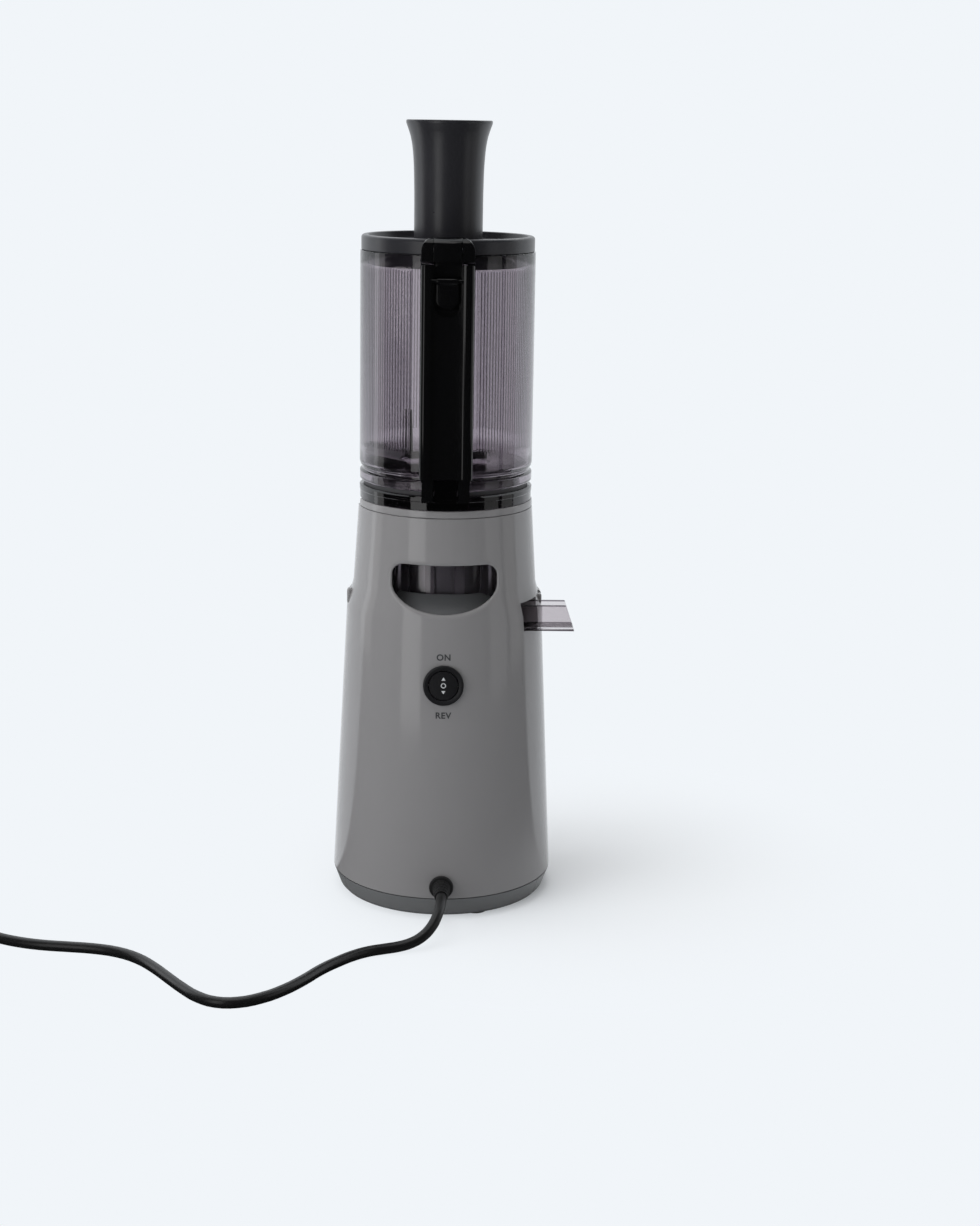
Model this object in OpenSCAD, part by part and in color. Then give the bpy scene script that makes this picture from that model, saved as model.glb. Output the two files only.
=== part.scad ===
// Cold press juicer: a tapered tower with the motor in its foot, a juicing bowl that drops into
// its open front bay, and a tall smoky hopper with a hinged lid and a pusher.
// Millimetres. The vertical axis of the bowl is Z, the front is -Y, the rear with the switch is +Y.

/* [Tower] */
// Radius of the tower at the seam over its bottom cover
tower_foot_r = 75.6; // [72:0.1:78]
// Half width of the tower at its shoulders
shoulder_half_w = 66.4; // [65.8:0.1:67]
// Half depth of the tower at its shoulders
shoulder_half_d = 63.2; // [62:0.1:64]
// Radius of the tower where the open bay's wall begins
bay_r = 61.9; // [61:0.1:62.5]
// Radius of the tower's top rim
rim_r = 58.2; // [58.1:0.1:59]
// Height of the top rim over the foot's level
rim_z = 271.4; // [270:0.1:271.6]
// Thickness of the moulded walls
wall = 2.6; // [2:0.1:2.8]

/* [Hopper] */
// Outer radius of the hopper
hopper_r = 57.9; // [57.5:0.1:58]
// Height of the hopper's open edge over the foot's level
hopper_top_z = 435; // [434.5:0.1:435]
// Radius of the lid
lid_r = 56.9; // [56:0.1:57.4]
// Height of the lid's top edge over the foot's level
lid_top_z = 445; // [444:0.1:446]
// Half width of the black spine behind the hopper
spine_half_w = 17.2; // [16.8:0.1:17.4]

/* [Pusher] */
// Radius of the pusher's stem
pusher_r = 22.7; // [22:0.1:22.8]
// Radius of the pusher's flared top
pusher_flare_r = 28.1; // [26:0.1:30]
// Height of the pusher's top over the foot's level
pusher_top_z = 518; // [510:1:525]

/* [Bowl] */
// Outer radius of the bowl's chamber
bowl_r = 44; // [43.6:0.1:44.6]
// Length of the juice spout ahead of the chamber
spout_len = 54; // [48:1:60]

/* [Switch] */
// Height of the switch over the foot's level
switch_z = 156.8; // [150:0.1:160]
// Radius of the switch's bezel
bezel_r = 13.4; // [13:0.1:14.5]
// How far the rocker tips each way, in degrees
rocker_tilt = 9; // [6:1:10]

/* [Gears] */
// Teeth of the three pinions
pinion_teeth = 10; // [10]
// Teeth of the first large gear
first_teeth = 50; // [50]
// Teeth of the second large gear and of the output gear
second_teeth = 40; // [40]

/* [Power lead] */
// Diameter of the power lead
cord_d = 7; // [6.5:0.1:7]
// Turns of the coil in each of its two layers
coil_turns = 2; // [2]

/* [Hidden] */
$fn = 96;

plastic_grey = "#7d7d7f";
dark_grey = "#5a5c5d";
black = "#1c1c1e";
smoke = "#8a858a";
steel = "#b8babd";
copper = "#b87333";

// The tower and all it carries are drawn from a level this far above the table
foot_lift = 4;

// Levels of the tower, from that level
foot_z = 11;
shoulder_z = 197;
waist_z = 203.5;
bay_z = 215;
deck_z = 199;
floor_z = 176;
floor_t = 4;
ring_z = 266.6;
bay_front_y = 4;
bay_sweep_r = 15;
waist_half_w = shoulder_half_w - 3.2;
waist_half_d = shoulder_half_d - 0.6;
rear_slope = (tower_foot_r - shoulder_half_d) / (shoulder_z - foot_z);
wall_tilt = atan(rear_slope);

// Gear train
pinion_module = 0.9;
second_module = 1;
third_module = 1.5;
first_distance = pinion_module * (pinion_teeth + first_teeth) / 2;
second_distance = second_module * (pinion_teeth + second_teeth) / 2;
third_distance = third_module * (pinion_teeth + second_teeth) / 2;
first_angle = -125;
axle_spread = acos((pow(first_distance, 2) + pow(third_distance, 2) - pow(second_distance, 2))
    / (2 * first_distance * third_distance));
second_angle = first_angle + axle_spread;
first_axle = first_distance * [cos(first_angle), sin(first_angle)];
second_axle = third_distance * [cos(second_angle), sin(second_angle)];
mesh_angle = atan2(second_axle.y - first_axle.y, second_axle.x - first_axle.x);

// Hinge of the lid, along X
hinge_y = 61;
hinge_z = 438.5;
hinge_sweep_r = 10.15;

// Hinge of the release button, along X
latch_y = 64;
latch_z = 419.6;

// Juice spout and its cap, whose hinge runs along X
spout_z = 224;
spout_r = 11;
spout_end_y = -bowl_r - spout_len;
cap_hinge_z = spout_z + 16;

// Pulp chute, which leaves the tower toward -X
chute_low_y = 21;
chute_high_y = 38;
chute_low_z = 187.4;
chute_top_z = 205;
chute_r = 55.4;

// Power lead: it leaves the tower at the rear and lies on the table
cord_r = cord_d / 2;
cord_z = 3.6;
exit_z = 19.5;
relief_end_y = 93;
cord_route = [
    [0, 93, 23.5], [0, 100, 23.3], [0.9, 107.1, 21], [2.9, 113.8, 17.3], [6.3, 119.7, 13],
    [11.4, 124.4, 9], [18.2, 127.9, 6], [26.6, 130.3, 4.2], [36, 132.9, 3.6], [45.7, 137, 3.6],
    [55.4, 143.9, 3.6], [64.9, 153.8, 3.6], [74.5, 165.8, 3.6], [84.7, 182.3, 3.6],
    [95.8, 197.1, 3.6], [108.1, 208.4, 3.6], [121.7, 215, 3.6], [134.9, 214.8, 3.6],
    [146.8, 207.4, 3.6], [157.4, 195.1, 3.6], [168.2, 180.1, 3.6], [179.4, 164.4, 3.6],
    [191.6, 150.7, 3.6], [205.7, 141.1, 3.6], [221.7, 135.8, 3.6], [238.8, 133.1, 3.6],
    [255.9, 130.5, 3.6], [272.4, 125.9, 3.7], [288.3, 118.7, 4], [302.1, 109.3, 4.3],
    [311.5, 97.6, 4.6], [315.4, 85.3, 4.8], [315.4, 78.2, 4.8]
];

// Coil of the stowed length: in and out again in two layers
coil_centre = [358.5, 78.2];
coil_pitch = 7.55;
coil_inner_r = 27.9;
coil_steps = 24;
coil_reverse = 360 * coil_turns;
coil_sides = 6;
coil_z = 4.8;
coil_tail_turn = 180;

screw_ring_r = 63;

function rear_at(z) = tower_foot_r - rear_slope * (z - foot_z);
function arc(c, r, from, to, steps) =
    [for (i = [0:steps]) c + r * [cos(from + (to - from) * i / steps), sin(from + (to - from) * i / steps)]];

// Side view of the hood over the hinge
hood_profile = concat([[52.5, 436], [52.5, 444.6], [56, 446.5]], arc([62.6, 441.1], 5.4, 90, 0, 6),
    [[68, 431.7], [64, 431.5], [58.6, 431.6], [58.4, 435.4]]);

// Rings of a tube swept along points, each square to the route, and the faces that join them
function unit(v) = v / norm(v);
function heading(p, i) = unit(p[min(i + 1, len(p) - 1)] - p[max(i - 1, 0)]);
function ring_of(centre, along, r, sides) =
    let (across = unit(cross(along, [0, 0, 1])), up = cross(across, along))
    [for (k = [0:sides - 1]) centre + r * (cos(360 * (k + 0.5) / sides) * across + sin(360 * (k + 0.5) / sides) * up)];
function tube_points(p, r, sides) =
    [for (i = [0:len(p) - 1]) each ring_of(p[i], heading(p, i), r, sides)];
function tube_faces(rings, sides) = concat(
    [for (i = [0:rings - 2]) for (k = [0:sides - 1]) let (a = i * sides + k, b = i * sides + (k + 1) % sides)
        each [[a, b + sides, b], [a, a + sides, b + sides]]],
    [for (k = [1:sides - 2]) [0, k, k + 1]],
    [for (k = [1:sides - 2]) let (base = (rings - 1) * sides) [base, base + k + 1, base + k]]);

// ---------------------------------------------------------------- tower

module raised() {
    translate([0, 0, foot_lift])
        children();
}

module section(z, half_w, half_d) {
    translate([0, 0, z])
        linear_extrude(0.01)
            scale([half_w, half_d])
                circle(r = 1, $fn = 72);
}

module tower_body(inset, bottom_z) {
    hull() {
        section(bottom_z, tower_foot_r - inset, tower_foot_r - inset);
        section(shoulder_z, shoulder_half_w - inset, shoulder_half_d - inset);
    }
    hull() {
        section(shoulder_z, shoulder_half_w - inset, shoulder_half_d - inset);
        section(waist_z, waist_half_w - inset, waist_half_d - inset);
        section(bay_z, bay_r - inset, bay_r - inset);
    }
    translate([0, 0, bay_z])
        cylinder(h = rim_z - bay_z, r1 = bay_r - inset, r2 = rim_r - inset);
}

// Side view of the open bay, where the front half of the tower is missing above the deck
module bay(inset) {
    sweep = arc([bay_front_y - bay_sweep_r, deck_z + bay_sweep_r], bay_sweep_r - inset, -90, 0, 12);
    rotate([90, 0, 90])
        translate([0, 0, -100])
            linear_extrude(200)
                polygon(concat([[-120, deck_z + inset]], sweep, [[bay_front_y - inset, 300], [-120, 300]]));
}

// Outline of the rear grip: flat top, bowed bottom
module grip_outline(grow) {
    half_w = 34.8 + grow;
    corner_r = 8 + grow;
    bottom = [for (a = [180:10:360]) [half_w * cos(a), 222 + (18.8 + grow) * sin(a)]];
    right = arc([half_w - corner_r, 235.5 + grow - corner_r], corner_r, 0, 90, 6);
    left = arc([corner_r - half_w, 235.5 + grow - corner_r], corner_r, 90, 180, 6);
    polygon(concat(bottom, right, left));
}

module along_y(y0, y1) {
    translate([0, y1, 0])
        rotate([90, 0, 0])
            linear_extrude(y1 - y0)
                children();
}

module chute_window() {
    clearance = 0.4;
    translate([-80, chute_low_y - clearance, chute_low_z - clearance])
        cube([45, chute_high_y - chute_low_y + 2 * clearance, chute_top_z - chute_low_z + 1.4]);
}

module on_corners(radius, first = 45) {
    for (a = [first:90:359])
        rotate([0, 0, a])
            translate([radius, 0, 0])
                children();
}

module tower_shell() {
    boss_r = 5.5;
    board_post_r = 2.5;
    color(plastic_grey)
        difference() {
            union() {
                difference() {
                    tower_body(0, foot_z);
                    difference() {
                        tower_body(wall, foot_z - 1);
                        translate([-80, -80, floor_z])
                            cube([160, 160, floor_t]);
                    }
                }
                intersection() {
                    on_corners(screw_ring_r)
                        translate([0, 0, foot_z]) {
                            cylinder(h = 30, r = boss_r, $fn = 32);
                            translate([0, -2, 0])
                                cube([12, 4, 30]);
                        }
                    tower_body(1, foot_z);
                }
                for (x = [-19, 19])
                    for (z = [36, 84])
                        translate([x, 54.6, z])
                            rotate([-90, 0, 0])
                                cylinder(h = rear_at(z) - 4.4 - 54.6, r = board_post_r, $fn = 24);
                translate([0, 0, floor_z - 9])
                    cylinder(h = 9.5, r = 17);
            }
            on_corners(screw_ring_r)
                translate([0, 0, foot_z - 1])
                    cylinder(h = 24, r = 1.9, $fn = 24);
            bay(0);
            translate([0, 0, ring_z])
                cylinder(h = 20, r = 80);
            along_y(48, 80)
                grip_outline(0);
            chute_window();
            translate([0, 50, switch_z])
                rotate([-90, 0, 0])
                    cylinder(h = 30, r = 11.7);
            translate([0, 60, exit_z])
                rotate([-90, 0, 0])
                    cylinder(h = 30, r = 6.7);
            translate([0, 0, floor_z - 20])
                cylinder(h = 40, r = 12.05);
            translate([0, 0, floor_z - 20])
                cylinder(h = 19, r = 13.05);
            on_corners(48)
                translate([0, 0, floor_z - 1])
                    cylinder(h = 6, r = 2.1, $fn = 24);
        }
}

module rim_ring() {
    color(plastic_grey)
        difference() {
            translate([0, 0, ring_z + 0.3])
                cylinder(h = rim_z - ring_z - 0.3, r1 = rim_r + 0.3, r2 = rim_r);
            translate([0, 0, ring_z - 1])
                cylinder(h = 10, r = rim_r - wall);
            translate([-80, -160 + bay_front_y, ring_z - 1])
                cube([160, 160, 10]);
        }
}

module bottom_cover() {
    cover_z = -2.5;
    edge_z = -0.6;
    floor_h = 2.4;
    top_z = foot_z - 0.3;
    color(dark_grey)
        difference() {
            union() {
                translate([0, 0, edge_z])
                    cylinder(h = top_z - edge_z, r1 = tower_foot_r - 4.3, r2 = tower_foot_r - 0.1);
                translate([0, 0, cover_z])
                    cylinder(h = edge_z - cover_z, r1 = tower_foot_r - 6, r2 = tower_foot_r - 4.3);
            }
            difference() {
                translate([0, 0, cover_z + floor_h])
                    cylinder(h = top_z - cover_z - floor_h + 1, r1 = tower_foot_r - 7.4, r2 = tower_foot_r - 3);
                on_corners(screw_ring_r)
                    translate([0, 0, cover_z])
                        cylinder(h = top_z - cover_z, r = 6, $fn = 32);
            }
            on_corners(60, 22.5)
                translate([0, 0, cover_z - 1])
                    cylinder(h = 2.2, r = 8.1, $fn = 48);
            on_corners(screw_ring_r)
                translate([0, 0, cover_z - 1])
                    cylinder(h = 20, r = 2.1, $fn = 24);
            on_corners(screw_ring_r)
                translate([0, 0, cover_z - 1])
                    cylinder(h = 8.1, r = 3.9, $fn = 32);
            for (x = [-28:8:28])
                translate([x - 1.6, -24, cover_z - 1])
                    cube([3.2, 48, 6]);
        }
}

module feet() {
    color(black)
        on_corners(60, 22.5)
            translate([0, 0, -foot_lift])
                cylinder(h = 2.6, r = 8, $fn = 48);
}

module screw(length, head_r, head_h) {
    translate([0, 0, -length])
        cylinder(h = length, r = 1.75, $fn = 24);
    difference() {
        cylinder(h = head_h, r = head_r, $fn = 32);
        for (a = [0, 90])
            rotate([0, 0, a])
                translate([-2, -0.4, head_h - 1.1])
                    cube([4, 0.8, 2]);
    }
}

module base_screws() {
    color(steel)
        on_corners(screw_ring_r)
            translate([0, 0, 4.6])
                rotate([180, 0, 0])
                    screw(20, 3.6, 2.4);
}

module deck_screws() {
    color(steel)
        on_corners(48)
            translate([0, 0, floor_z + floor_t])
                screw(14, 3.6, 2.4);
}

// Rounded deck, a little wider than it is deep
module deck() {
    top_z = 208;
    edge_r = 4;
    deck_d = shoulder_half_d - 0.3;
    spread = shoulder_half_w - shoulder_half_d;
    half = concat([[deck_d, deck_z]], arc([deck_d - edge_r, top_z - edge_r], edge_r, 0, 90, 6));
    for (x = [-spread, spread])
        translate([x, 0, 0])
            rotate_extrude()
                polygon(concat([[0, deck_z]], half, [[0, top_z]]));
    rotate([90, 0, 90])
        translate([0, 0, -spread])
            linear_extrude(2 * spread)
                polygon(concat(half, [for (i = [len(half) - 1:-1:0]) [-half[i].x, half[i].y]]));
}

// The seat carries the rounded front deck, and behind the grip a scoop that rises inward
module bowl_seat() {
    inner_r = 46.4;
    rear_r = bay_r - wall - 0.4;
    color(plastic_grey)
        difference() {
            union() {
                intersection() {
                    deck();
                    bay(0.3);
                }
                translate([0, 0, deck_z + 0.3])
                    cylinder(h = 2.5, r = rear_r - 0.6);
                intersection() {
                    rotate_extrude()
                        polygon([[inner_r - 1, deck_z + 0.3], [rear_r, deck_z + 0.3], [rear_r, deck_z + 4.2],
                            [inner_r - 1, 214.5]]);
                    linear_extrude(300)
                        polygon([[0, 0], [54, 64], [0, 110], [-54, 64]]);
                }
                for (a = [0:60:300])
                    rotate([0, 0, a])
                        translate([52, 0, floor_z + floor_t])
                            cylinder(h = deck_z - floor_z - floor_t + 1, r = 3.2, $fn = 32);
            }
            translate([0, 0, 150])
                cylinder(h = 100, r = inner_r);
            translate([-80, chute_low_y - 1.6, 150])
                cube([60, chute_high_y - chute_low_y + 3.2, 100]);
        }
}

module shaft_seal() {
    color(black)
        translate([0, 0, floor_z - 0.8])
            difference() {
                cylinder(h = floor_t + 2.8, r = 12);
                translate([0, 0, -1])
                    cylinder(h = 20, r = 7.56);
            }
}

// ---------------------------------------------------------------- drive

module tube(z0, z1, outer_r, inner_r) {
    translate([0, 0, z0])
        difference() {
            cylinder(h = z1 - z0, r = outer_r);
            translate([0, 0, -1])
                cylinder(h = z1 - z0 + 2, r = inner_r);
        }
}

module gear_profile(teeth, size) {
    root_r = size * (teeth - 2.5) / 2;
    tip_r = size * (teeth + 1.8) / 2;
    pitch = 360 / teeth;
    polygon([for (i = [0:teeth - 1]) for (p = [[root_r, -0.28], [tip_r, -0.11], [tip_r, 0.11], [root_r, 0.28]])
        p[0] * [cos(pitch * (i + p[1])), sin(pitch * (i + p[1]))]]);
}

module gear(at, z0, z1, teeth, size, turn) {
    translate([at.x, at.y, z0])
        rotate([0, 0, turn])
            linear_extrude(z1 - z0)
                gear_profile(teeth, size);
}

module motor_can() {
    color(steel) {
        difference() {
            tube(34, 105.7, 43, 40.2);
            for (a = [30:60:330])
                rotate([0, 0, a])
                    translate([30, -6, 50])
                        cube([20, 12, 40]);
        }
        tube(31, 34, 43, 8.05);
    }
}

module motor_stator() {
    color("#77797c")
        difference() {
            tube(46, 92, 40, 24.5);
            for (a = [0:30:330])
                rotate([0, 0, a])
                    translate([26, -2, 40])
                        cube([8, 4, 60]);
        }
}

module motor_coils() {
    color(copper) {
        tube(40, 45.8, 38, 26);
        tube(92.2, 98, 38, 26);
    }
}

module motor_bearings() {
    color(steel) {
        tube(31, 36, 8, 3.06);
        tube(101, 105.6, 8, 3.06);
    }
}

module motor_rotor() {
    color("#8a8c8f") {
        translate([0, 0, 19])
            cylinder(h = 92, r = 3);
        tube(46, 92, 24, 3);
        gear([0, 0], 110, 117.5, pinion_teeth, pinion_module, first_angle);
    }
}

module cooling_fan() {
    blade_h = 7;
    color(black)
        difference() {
            union() {
                translate([0, 0, 19.5])
                    cylinder(h = 9, r = 8);
                translate([0, 0, 27])
                    cylinder(h = 1.5, r = 32);
                for (a = [0:40:320])
                    rotate([0, 0, a])
                        translate([6, -0.8, 27.1 - blade_h])
                            cube([26, 1.6, blade_h]);
            }
            translate([0, 0, 10])
                cylinder(h = 30, r = 3);
        }
}

module gearbox_housing() {
    color("#9a9c9e") {
        difference() {
            tube(106, 109, 62, 8.05);
            translate([first_axle.x, first_axle.y, 107])
                cylinder(h = 5, r = 2, $fn = 32);
        }
        tube(109, 139.6, 62, 59.5);
        tube(100.6, 106, 11, 8.05);
    }
}

module gearbox_cover() {
    color("#9a9c9e")
        difference() {
            union() {
                translate([0, 0, 139.6])
                    cylinder(h = 3, r = 62);
                translate([0, 0, 142])
                    cylinder(h = 7, r = 16);
                on_corners(48)
                    translate([0, 0, 142])
                        cylinder(h = floor_z - 142, r = 5, $fn = 32);
            }
            translate([0, 0, 138])
                cylinder(h = 20, r = 12.05);
            translate([second_axle.x, second_axle.y, 138])
                cylinder(h = 3.6, r = 2, $fn = 32);
            on_corners(48)
                translate([0, 0, floor_z - 12])
                    cylinder(h = 14, r = 1.85, $fn = 24);
        }
}

module gear_axles() {
    color(steel) {
        translate([first_axle.x, first_axle.y, 107])
            cylinder(h = 18.4, r = 2, $fn = 32);
        translate([second_axle.x, second_axle.y, 117.4])
            cylinder(h = 24, r = 2, $fn = 32);
    }
}

module first_gear() {
    color("#d8d4c4")
        difference() {
            union() {
                gear(first_axle, 110.5, 116.8, first_teeth, pinion_module, first_angle + 180 + 180 / first_teeth);
                gear(first_axle, 116.8, 124.9, pinion_teeth, second_module, mesh_angle);
            }
            translate([first_axle.x, first_axle.y, 100])
                cylinder(h = 40, r = 2.06, $fn = 32);
        }
}

module second_gear() {
    color("#d8d4c4")
        difference() {
            union() {
                gear(second_axle, 118, 124.5, second_teeth, second_module, mesh_angle + 180 + 180 / second_teeth);
                gear(second_axle, 124.5, 136, pinion_teeth, third_module, second_angle + 180);
            }
            translate([second_axle.x, second_axle.y, 100])
                cylinder(h = 60, r = 2.06, $fn = 32);
        }
}

module output_gear() {
    color("#d8d4c4")
        difference() {
            gear([0, 0], 126, 135.5, second_teeth, third_module, second_angle + 180 / second_teeth);
            translate([0, 0, 120])
                cylinder(h = 30, r = 7.5);
        }
}

module output_shaft() {
    color(steel) {
        translate([0, 0, 126])
            cylinder(h = 57.5, r = 7.5);
        translate([0, 0, 183.5])
            cylinder(h = 28.5, r = 7.9, $fn = 6);
    }
}

module shaft_bearings() {
    color(steel) {
        tube(140, 148.8, 12, 7.56);
        tube(167.5, 174.9, 13, 7.56);
    }
}

module circuit_board() {
    color("#2f6b45") {
        translate([-24, 53, 30])
            cube([48, 1.6, 60]);
        translate([-14, 46, 66])
            cube([16, 7, 14]);
        translate([8, 46, 40])
            cube([10, 7, 22]);
        translate([-16, 53, 46])
            rotate([90, 0, 0])
                cylinder(h = 6, r = 5, $fn = 32);
    }
}

// ---------------------------------------------------------------- switch and lead

// Stands its children square to the sloping rear wall at the switch's height
module on_rear(z) {
    translate([0, rear_at(z), z])
        rotate([wall_tilt - 90, 0, 0])
            children();
}

module switch_bezel() {
    color(black)
        on_rear(switch_z)
            difference() {
                union() {
                    translate([0, 0, 0.15])
                        cylinder(h = 1.2, r = bezel_r);
                    translate([0, 0, 1.35])
                        cylinder(h = 0.6, r1 = bezel_r, r2 = bezel_r - 1);
                    translate([0, 0, -6])
                        cylinder(h = 6.2, r = 11.3);
                }
                translate([0, 0, -10])
                    cylinder(h = 20, r = 10.15);
                translate([-11, 0, -1])
                    rotate([0, 90, 0])
                        cylinder(h = 22, r = 0.9, $fn = 32);
            }
}

module switch_body() {
    color(black)
        on_rear(switch_z)
            difference() {
                translate([0, 0, -20])
                    cylinder(h = 14, r = 11);
                translate([0, 0, -12])
                    cylinder(h = 10, r = 10.15);
            }
}

module switch_pin() {
    color(steel)
        on_rear(switch_z)
            translate([-11, 0, -1])
                rotate([0, 90, 0])
                    cylinder(h = 22, r = 0.9, $fn = 32);
}

module switch_rocker() {
    color("#202022")
        on_rear(switch_z)
            difference() {
                union() {
                    translate([0, 0, -3])
                        cylinder(h = 4.4, r = 9.6);
                    translate([-6, -3, -7])
                        cube([12, 6, 5]);
                }
                translate([-12, 0, -1])
                    rotate([0, 90, 0])
                        cylinder(h = 24, r = 0.96, $fn = 32);
            }
}

module strain_relief() {
    wall_y = rear_at(exit_z);
    color(black)
        translate([0, 0, exit_z])
            rotate([-90, 0, 0]) {
                translate([0, 0, wall_y - 12])
                    cylinder(h = 12.7, r = 6.5);
                translate([0, 0, wall_y + 0.6])
                    cylinder(h = 2.2, r1 = 8.3, r2 = 7.6);
                translate([0, 0, wall_y + 2.8])
                    cylinder(h = relief_end_y - wall_y - 2.8, r1 = 6, r2 = 4.3);
            }
}

module cord_clamp() {
    wall_y = rear_at(exit_z);
    color("#3a3a3c")
        difference() {
            union() {
                translate([0, wall_y - 16.5, exit_z])
                    rotate([-90, 0, 0])
                        cylinder(h = 4.2, r = 7.5);
                translate([-4, wall_y - 16.5, -0.1])
                    cube([8, 4.2, 16]);
            }
            translate([0, wall_y - 20, exit_z])
                rotate([-90, 0, 0])
                    cylinder(h = 10, r = 3.6);
        }
}

module sweep(p, r, sides) {
    polyhedron(points = tube_points(p, r, sides), faces = tube_faces(len(p), sides));
}

module power_cord() {
    color(black)
        sweep(cord_route, cord_r, 10);
}

// The coil enters at its outer edge, on the side nearest the tower, and winds inward
function coil_radius(turn) = coil_inner_r + coil_pitch * abs(turn - coil_reverse) / 360;
function coil_height(turn) = coil_z + coil_pitch * min(1, max(0, (turn - coil_reverse + 90) / 180));
function coil_point(turn) = [
    coil_centre.x - coil_radius(turn) * cos(turn),
    coil_centre.y - coil_radius(turn) * sin(turn),
    coil_height(turn)
];
coil_end = 2 * coil_reverse - coil_tail_turn;
coil_route = [for (turn = [0:360 / coil_steps:coil_end]) coil_point(turn)];
coil_last = coil_route[len(coil_route) - 1];
coil_points = concat([cord_route[len(cord_route) - 1]], [for (i = [1:len(coil_route) - 1]) coil_route[i]],
    [coil_last + [0.4, 9, 0.4], coil_last + [0.6, 18, 1], coil_last + [0.6, 26, 1.4]]);
near_steps = coil_steps / 2;
coil_gap = min([for (i = [0:len(coil_points) - 1 - near_steps]) for (j = [i + near_steps:len(coil_points) - 1])
    norm(coil_points[i] - coil_points[j])]) - cord_d;
echo(coil_least_gap = coil_gap);

module cord_coil() {
    color(black)
        sweep(coil_points, cord_r, coil_sides);
}

plug_at = coil_points[len(coil_points) - 1];

module cord_tie() {
    tie_r = coil_inner_r + coil_pitch * coil_turns / 2;
    color("#2a2a2c")
        translate([coil_centre.x, coil_centre.y, coil_z + coil_pitch / 2])
            rotate([0, 0, 45])
                translate([0, tie_r, 0])
                    rotate([0, 90, 0])
                        translate([0, 0, -4])
                            linear_extrude(8)
                                difference() {
                                    square([cord_d + coil_pitch + 2.2, coil_pitch * coil_turns + cord_d + 5.2], center = true);
                                    square([cord_d + coil_pitch + 0.6, coil_pitch * coil_turns + cord_d + 3.6], center = true);
                                }
}

module power_plug() {
    color(black)
        translate(plug_at) {
            rotate([-90, 0, 0])
                cylinder(h = 16.2, r1 = 4.4, r2 = 6.6, $fn = 48);
            translate([-17, 16, 0.1 - plug_at.z])
                cube([34, 24, 25]);
        }
}

module plug_pins() {
    color(steel)
        for (x = [-9.5, 9.5])
            translate([plug_at.x + x, plug_at.y + 40, 12.6])
                rotate([-90, 0, 0])
                    cylinder(h = 19, r = 2.4, $fn = 32);
}

// ---------------------------------------------------------------- bowl

module juicing_bowl() {
    port_wall = 2;
    color(smoke, 0.6)
        difference() {
            union() {
                rotate_extrude()
                    polygon([[10, 187], [30, 187], [30, 180.3], [33, 180.3], [33, 187], [bowl_r - 3, 187],
                        [bowl_r, 190], [bowl_r + 0.8, 247], [54.6, 261], [54.6, 271.8], [57.6, 271.8],
                        [57.6, 277], [hopper_r, 277.4], [hopper_r, 280], [56.8, 281], [52.6, 281], [10, 281]]);
                translate([0, 0, spout_z])
                    rotate([90, 0, 0])
                        cylinder(h = -spout_end_y, r = spout_r);
                translate([-3, spout_end_y, spout_z + spout_r - 2])
                    cube([6, 9, cap_hinge_z - spout_z - spout_r + 2]);
                translate([-3, spout_end_y + 4.5, cap_hinge_z])
                    rotate([0, 90, 0])
                        cylinder(h = 6, r = 4.5, $fn = 48);
                intersection() {
                    translate([-80, chute_low_y - 0.2, 187])
                        cube([50, chute_high_y - chute_low_y + 0.4, 18]);
                    cylinder(h = 300, r = 55);
                }
                translate([-7.2, 54, 277.6])
                    cube([14.4, 7, 3]);
                translate([-7.2, 58.3, 277.6])
                    cube([14.4, 2.7, 14.2]);
            }
            rotate_extrude()
                polygon([[0, 190], [bowl_r - 2.6, 190], [bowl_r - 1.7, 248], [49, 261.5], [52.5, 261.5],
                    [52.5, 300], [0, 300]]);
            translate([0, 0, 170])
                cylinder(h = 30, r = 13);
            translate([0, -30, spout_z])
                rotate([90, 0, 0])
                    cylinder(h = 100, r = spout_r - 2.5);
            intersection() {
                translate([-80, chute_low_y - 0.2 + port_wall, 190.2])
                    cube([50, chute_high_y - chute_low_y + 0.4 - 2 * port_wall, 12.8]);
                cylinder(h = 300, r = 70);
            }
            translate([-10, spout_end_y + 4.5, cap_hinge_z])
                rotate([0, 90, 0])
                    cylinder(h = 20, r = 1.5, $fn = 32);
        }
}

module rim_gasket() {
    color(black)
        tube(281.05, 283.6, 55, 52.7);
}

module auger_seal() {
    color("#cfcfd2")
        tube(186.6, 191.4, 13, 10.08);
}

module strainer_frame() {
    color(black)
        difference() {
            rotate_extrude()
                polygon([[30, 190.3], [36.8, 190.3], [37.6, 247], [48, 261.6], [52.2, 261.6], [52.2, 264.5],
                    [46, 264.5], [35.6, 248], [34.8, 193], [30, 193]]);
            for (a = [0:30:330])
                rotate([0, 0, a])
                    translate([32, -6.5, 200])
                        cube([8, 13, 42]);
            translate([-40, 23.5, 193.5])
                cube([35, 12, 8]);
        }
}

module strainer_mesh() {
    color(steel)
        tube(202, 246, 34.6, 34);
}

module auger() {
    flight_h = 62;
    color("#2b2b2d")
        difference() {
            union() {
                translate([0, 0, 184])
                    cylinder(h = 12, r = 10);
                translate([0, 0, 196])
                    cylinder(h = 74, r1 = 22, r2 = 14);
                translate([0, 0, 270])
                    cylinder(h = 22, r = 10);
                translate([0, 0, 198])
                    linear_extrude(height = flight_h, twist = -420, slices = 42, $fn = 16)
                        translate([8, -2.2])
                            square([24.6, 4.4]);
            }
            translate([0, 0, 180])
                cylinder(h = 34, r = 8.4, $fn = 6);
        }
}

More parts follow.
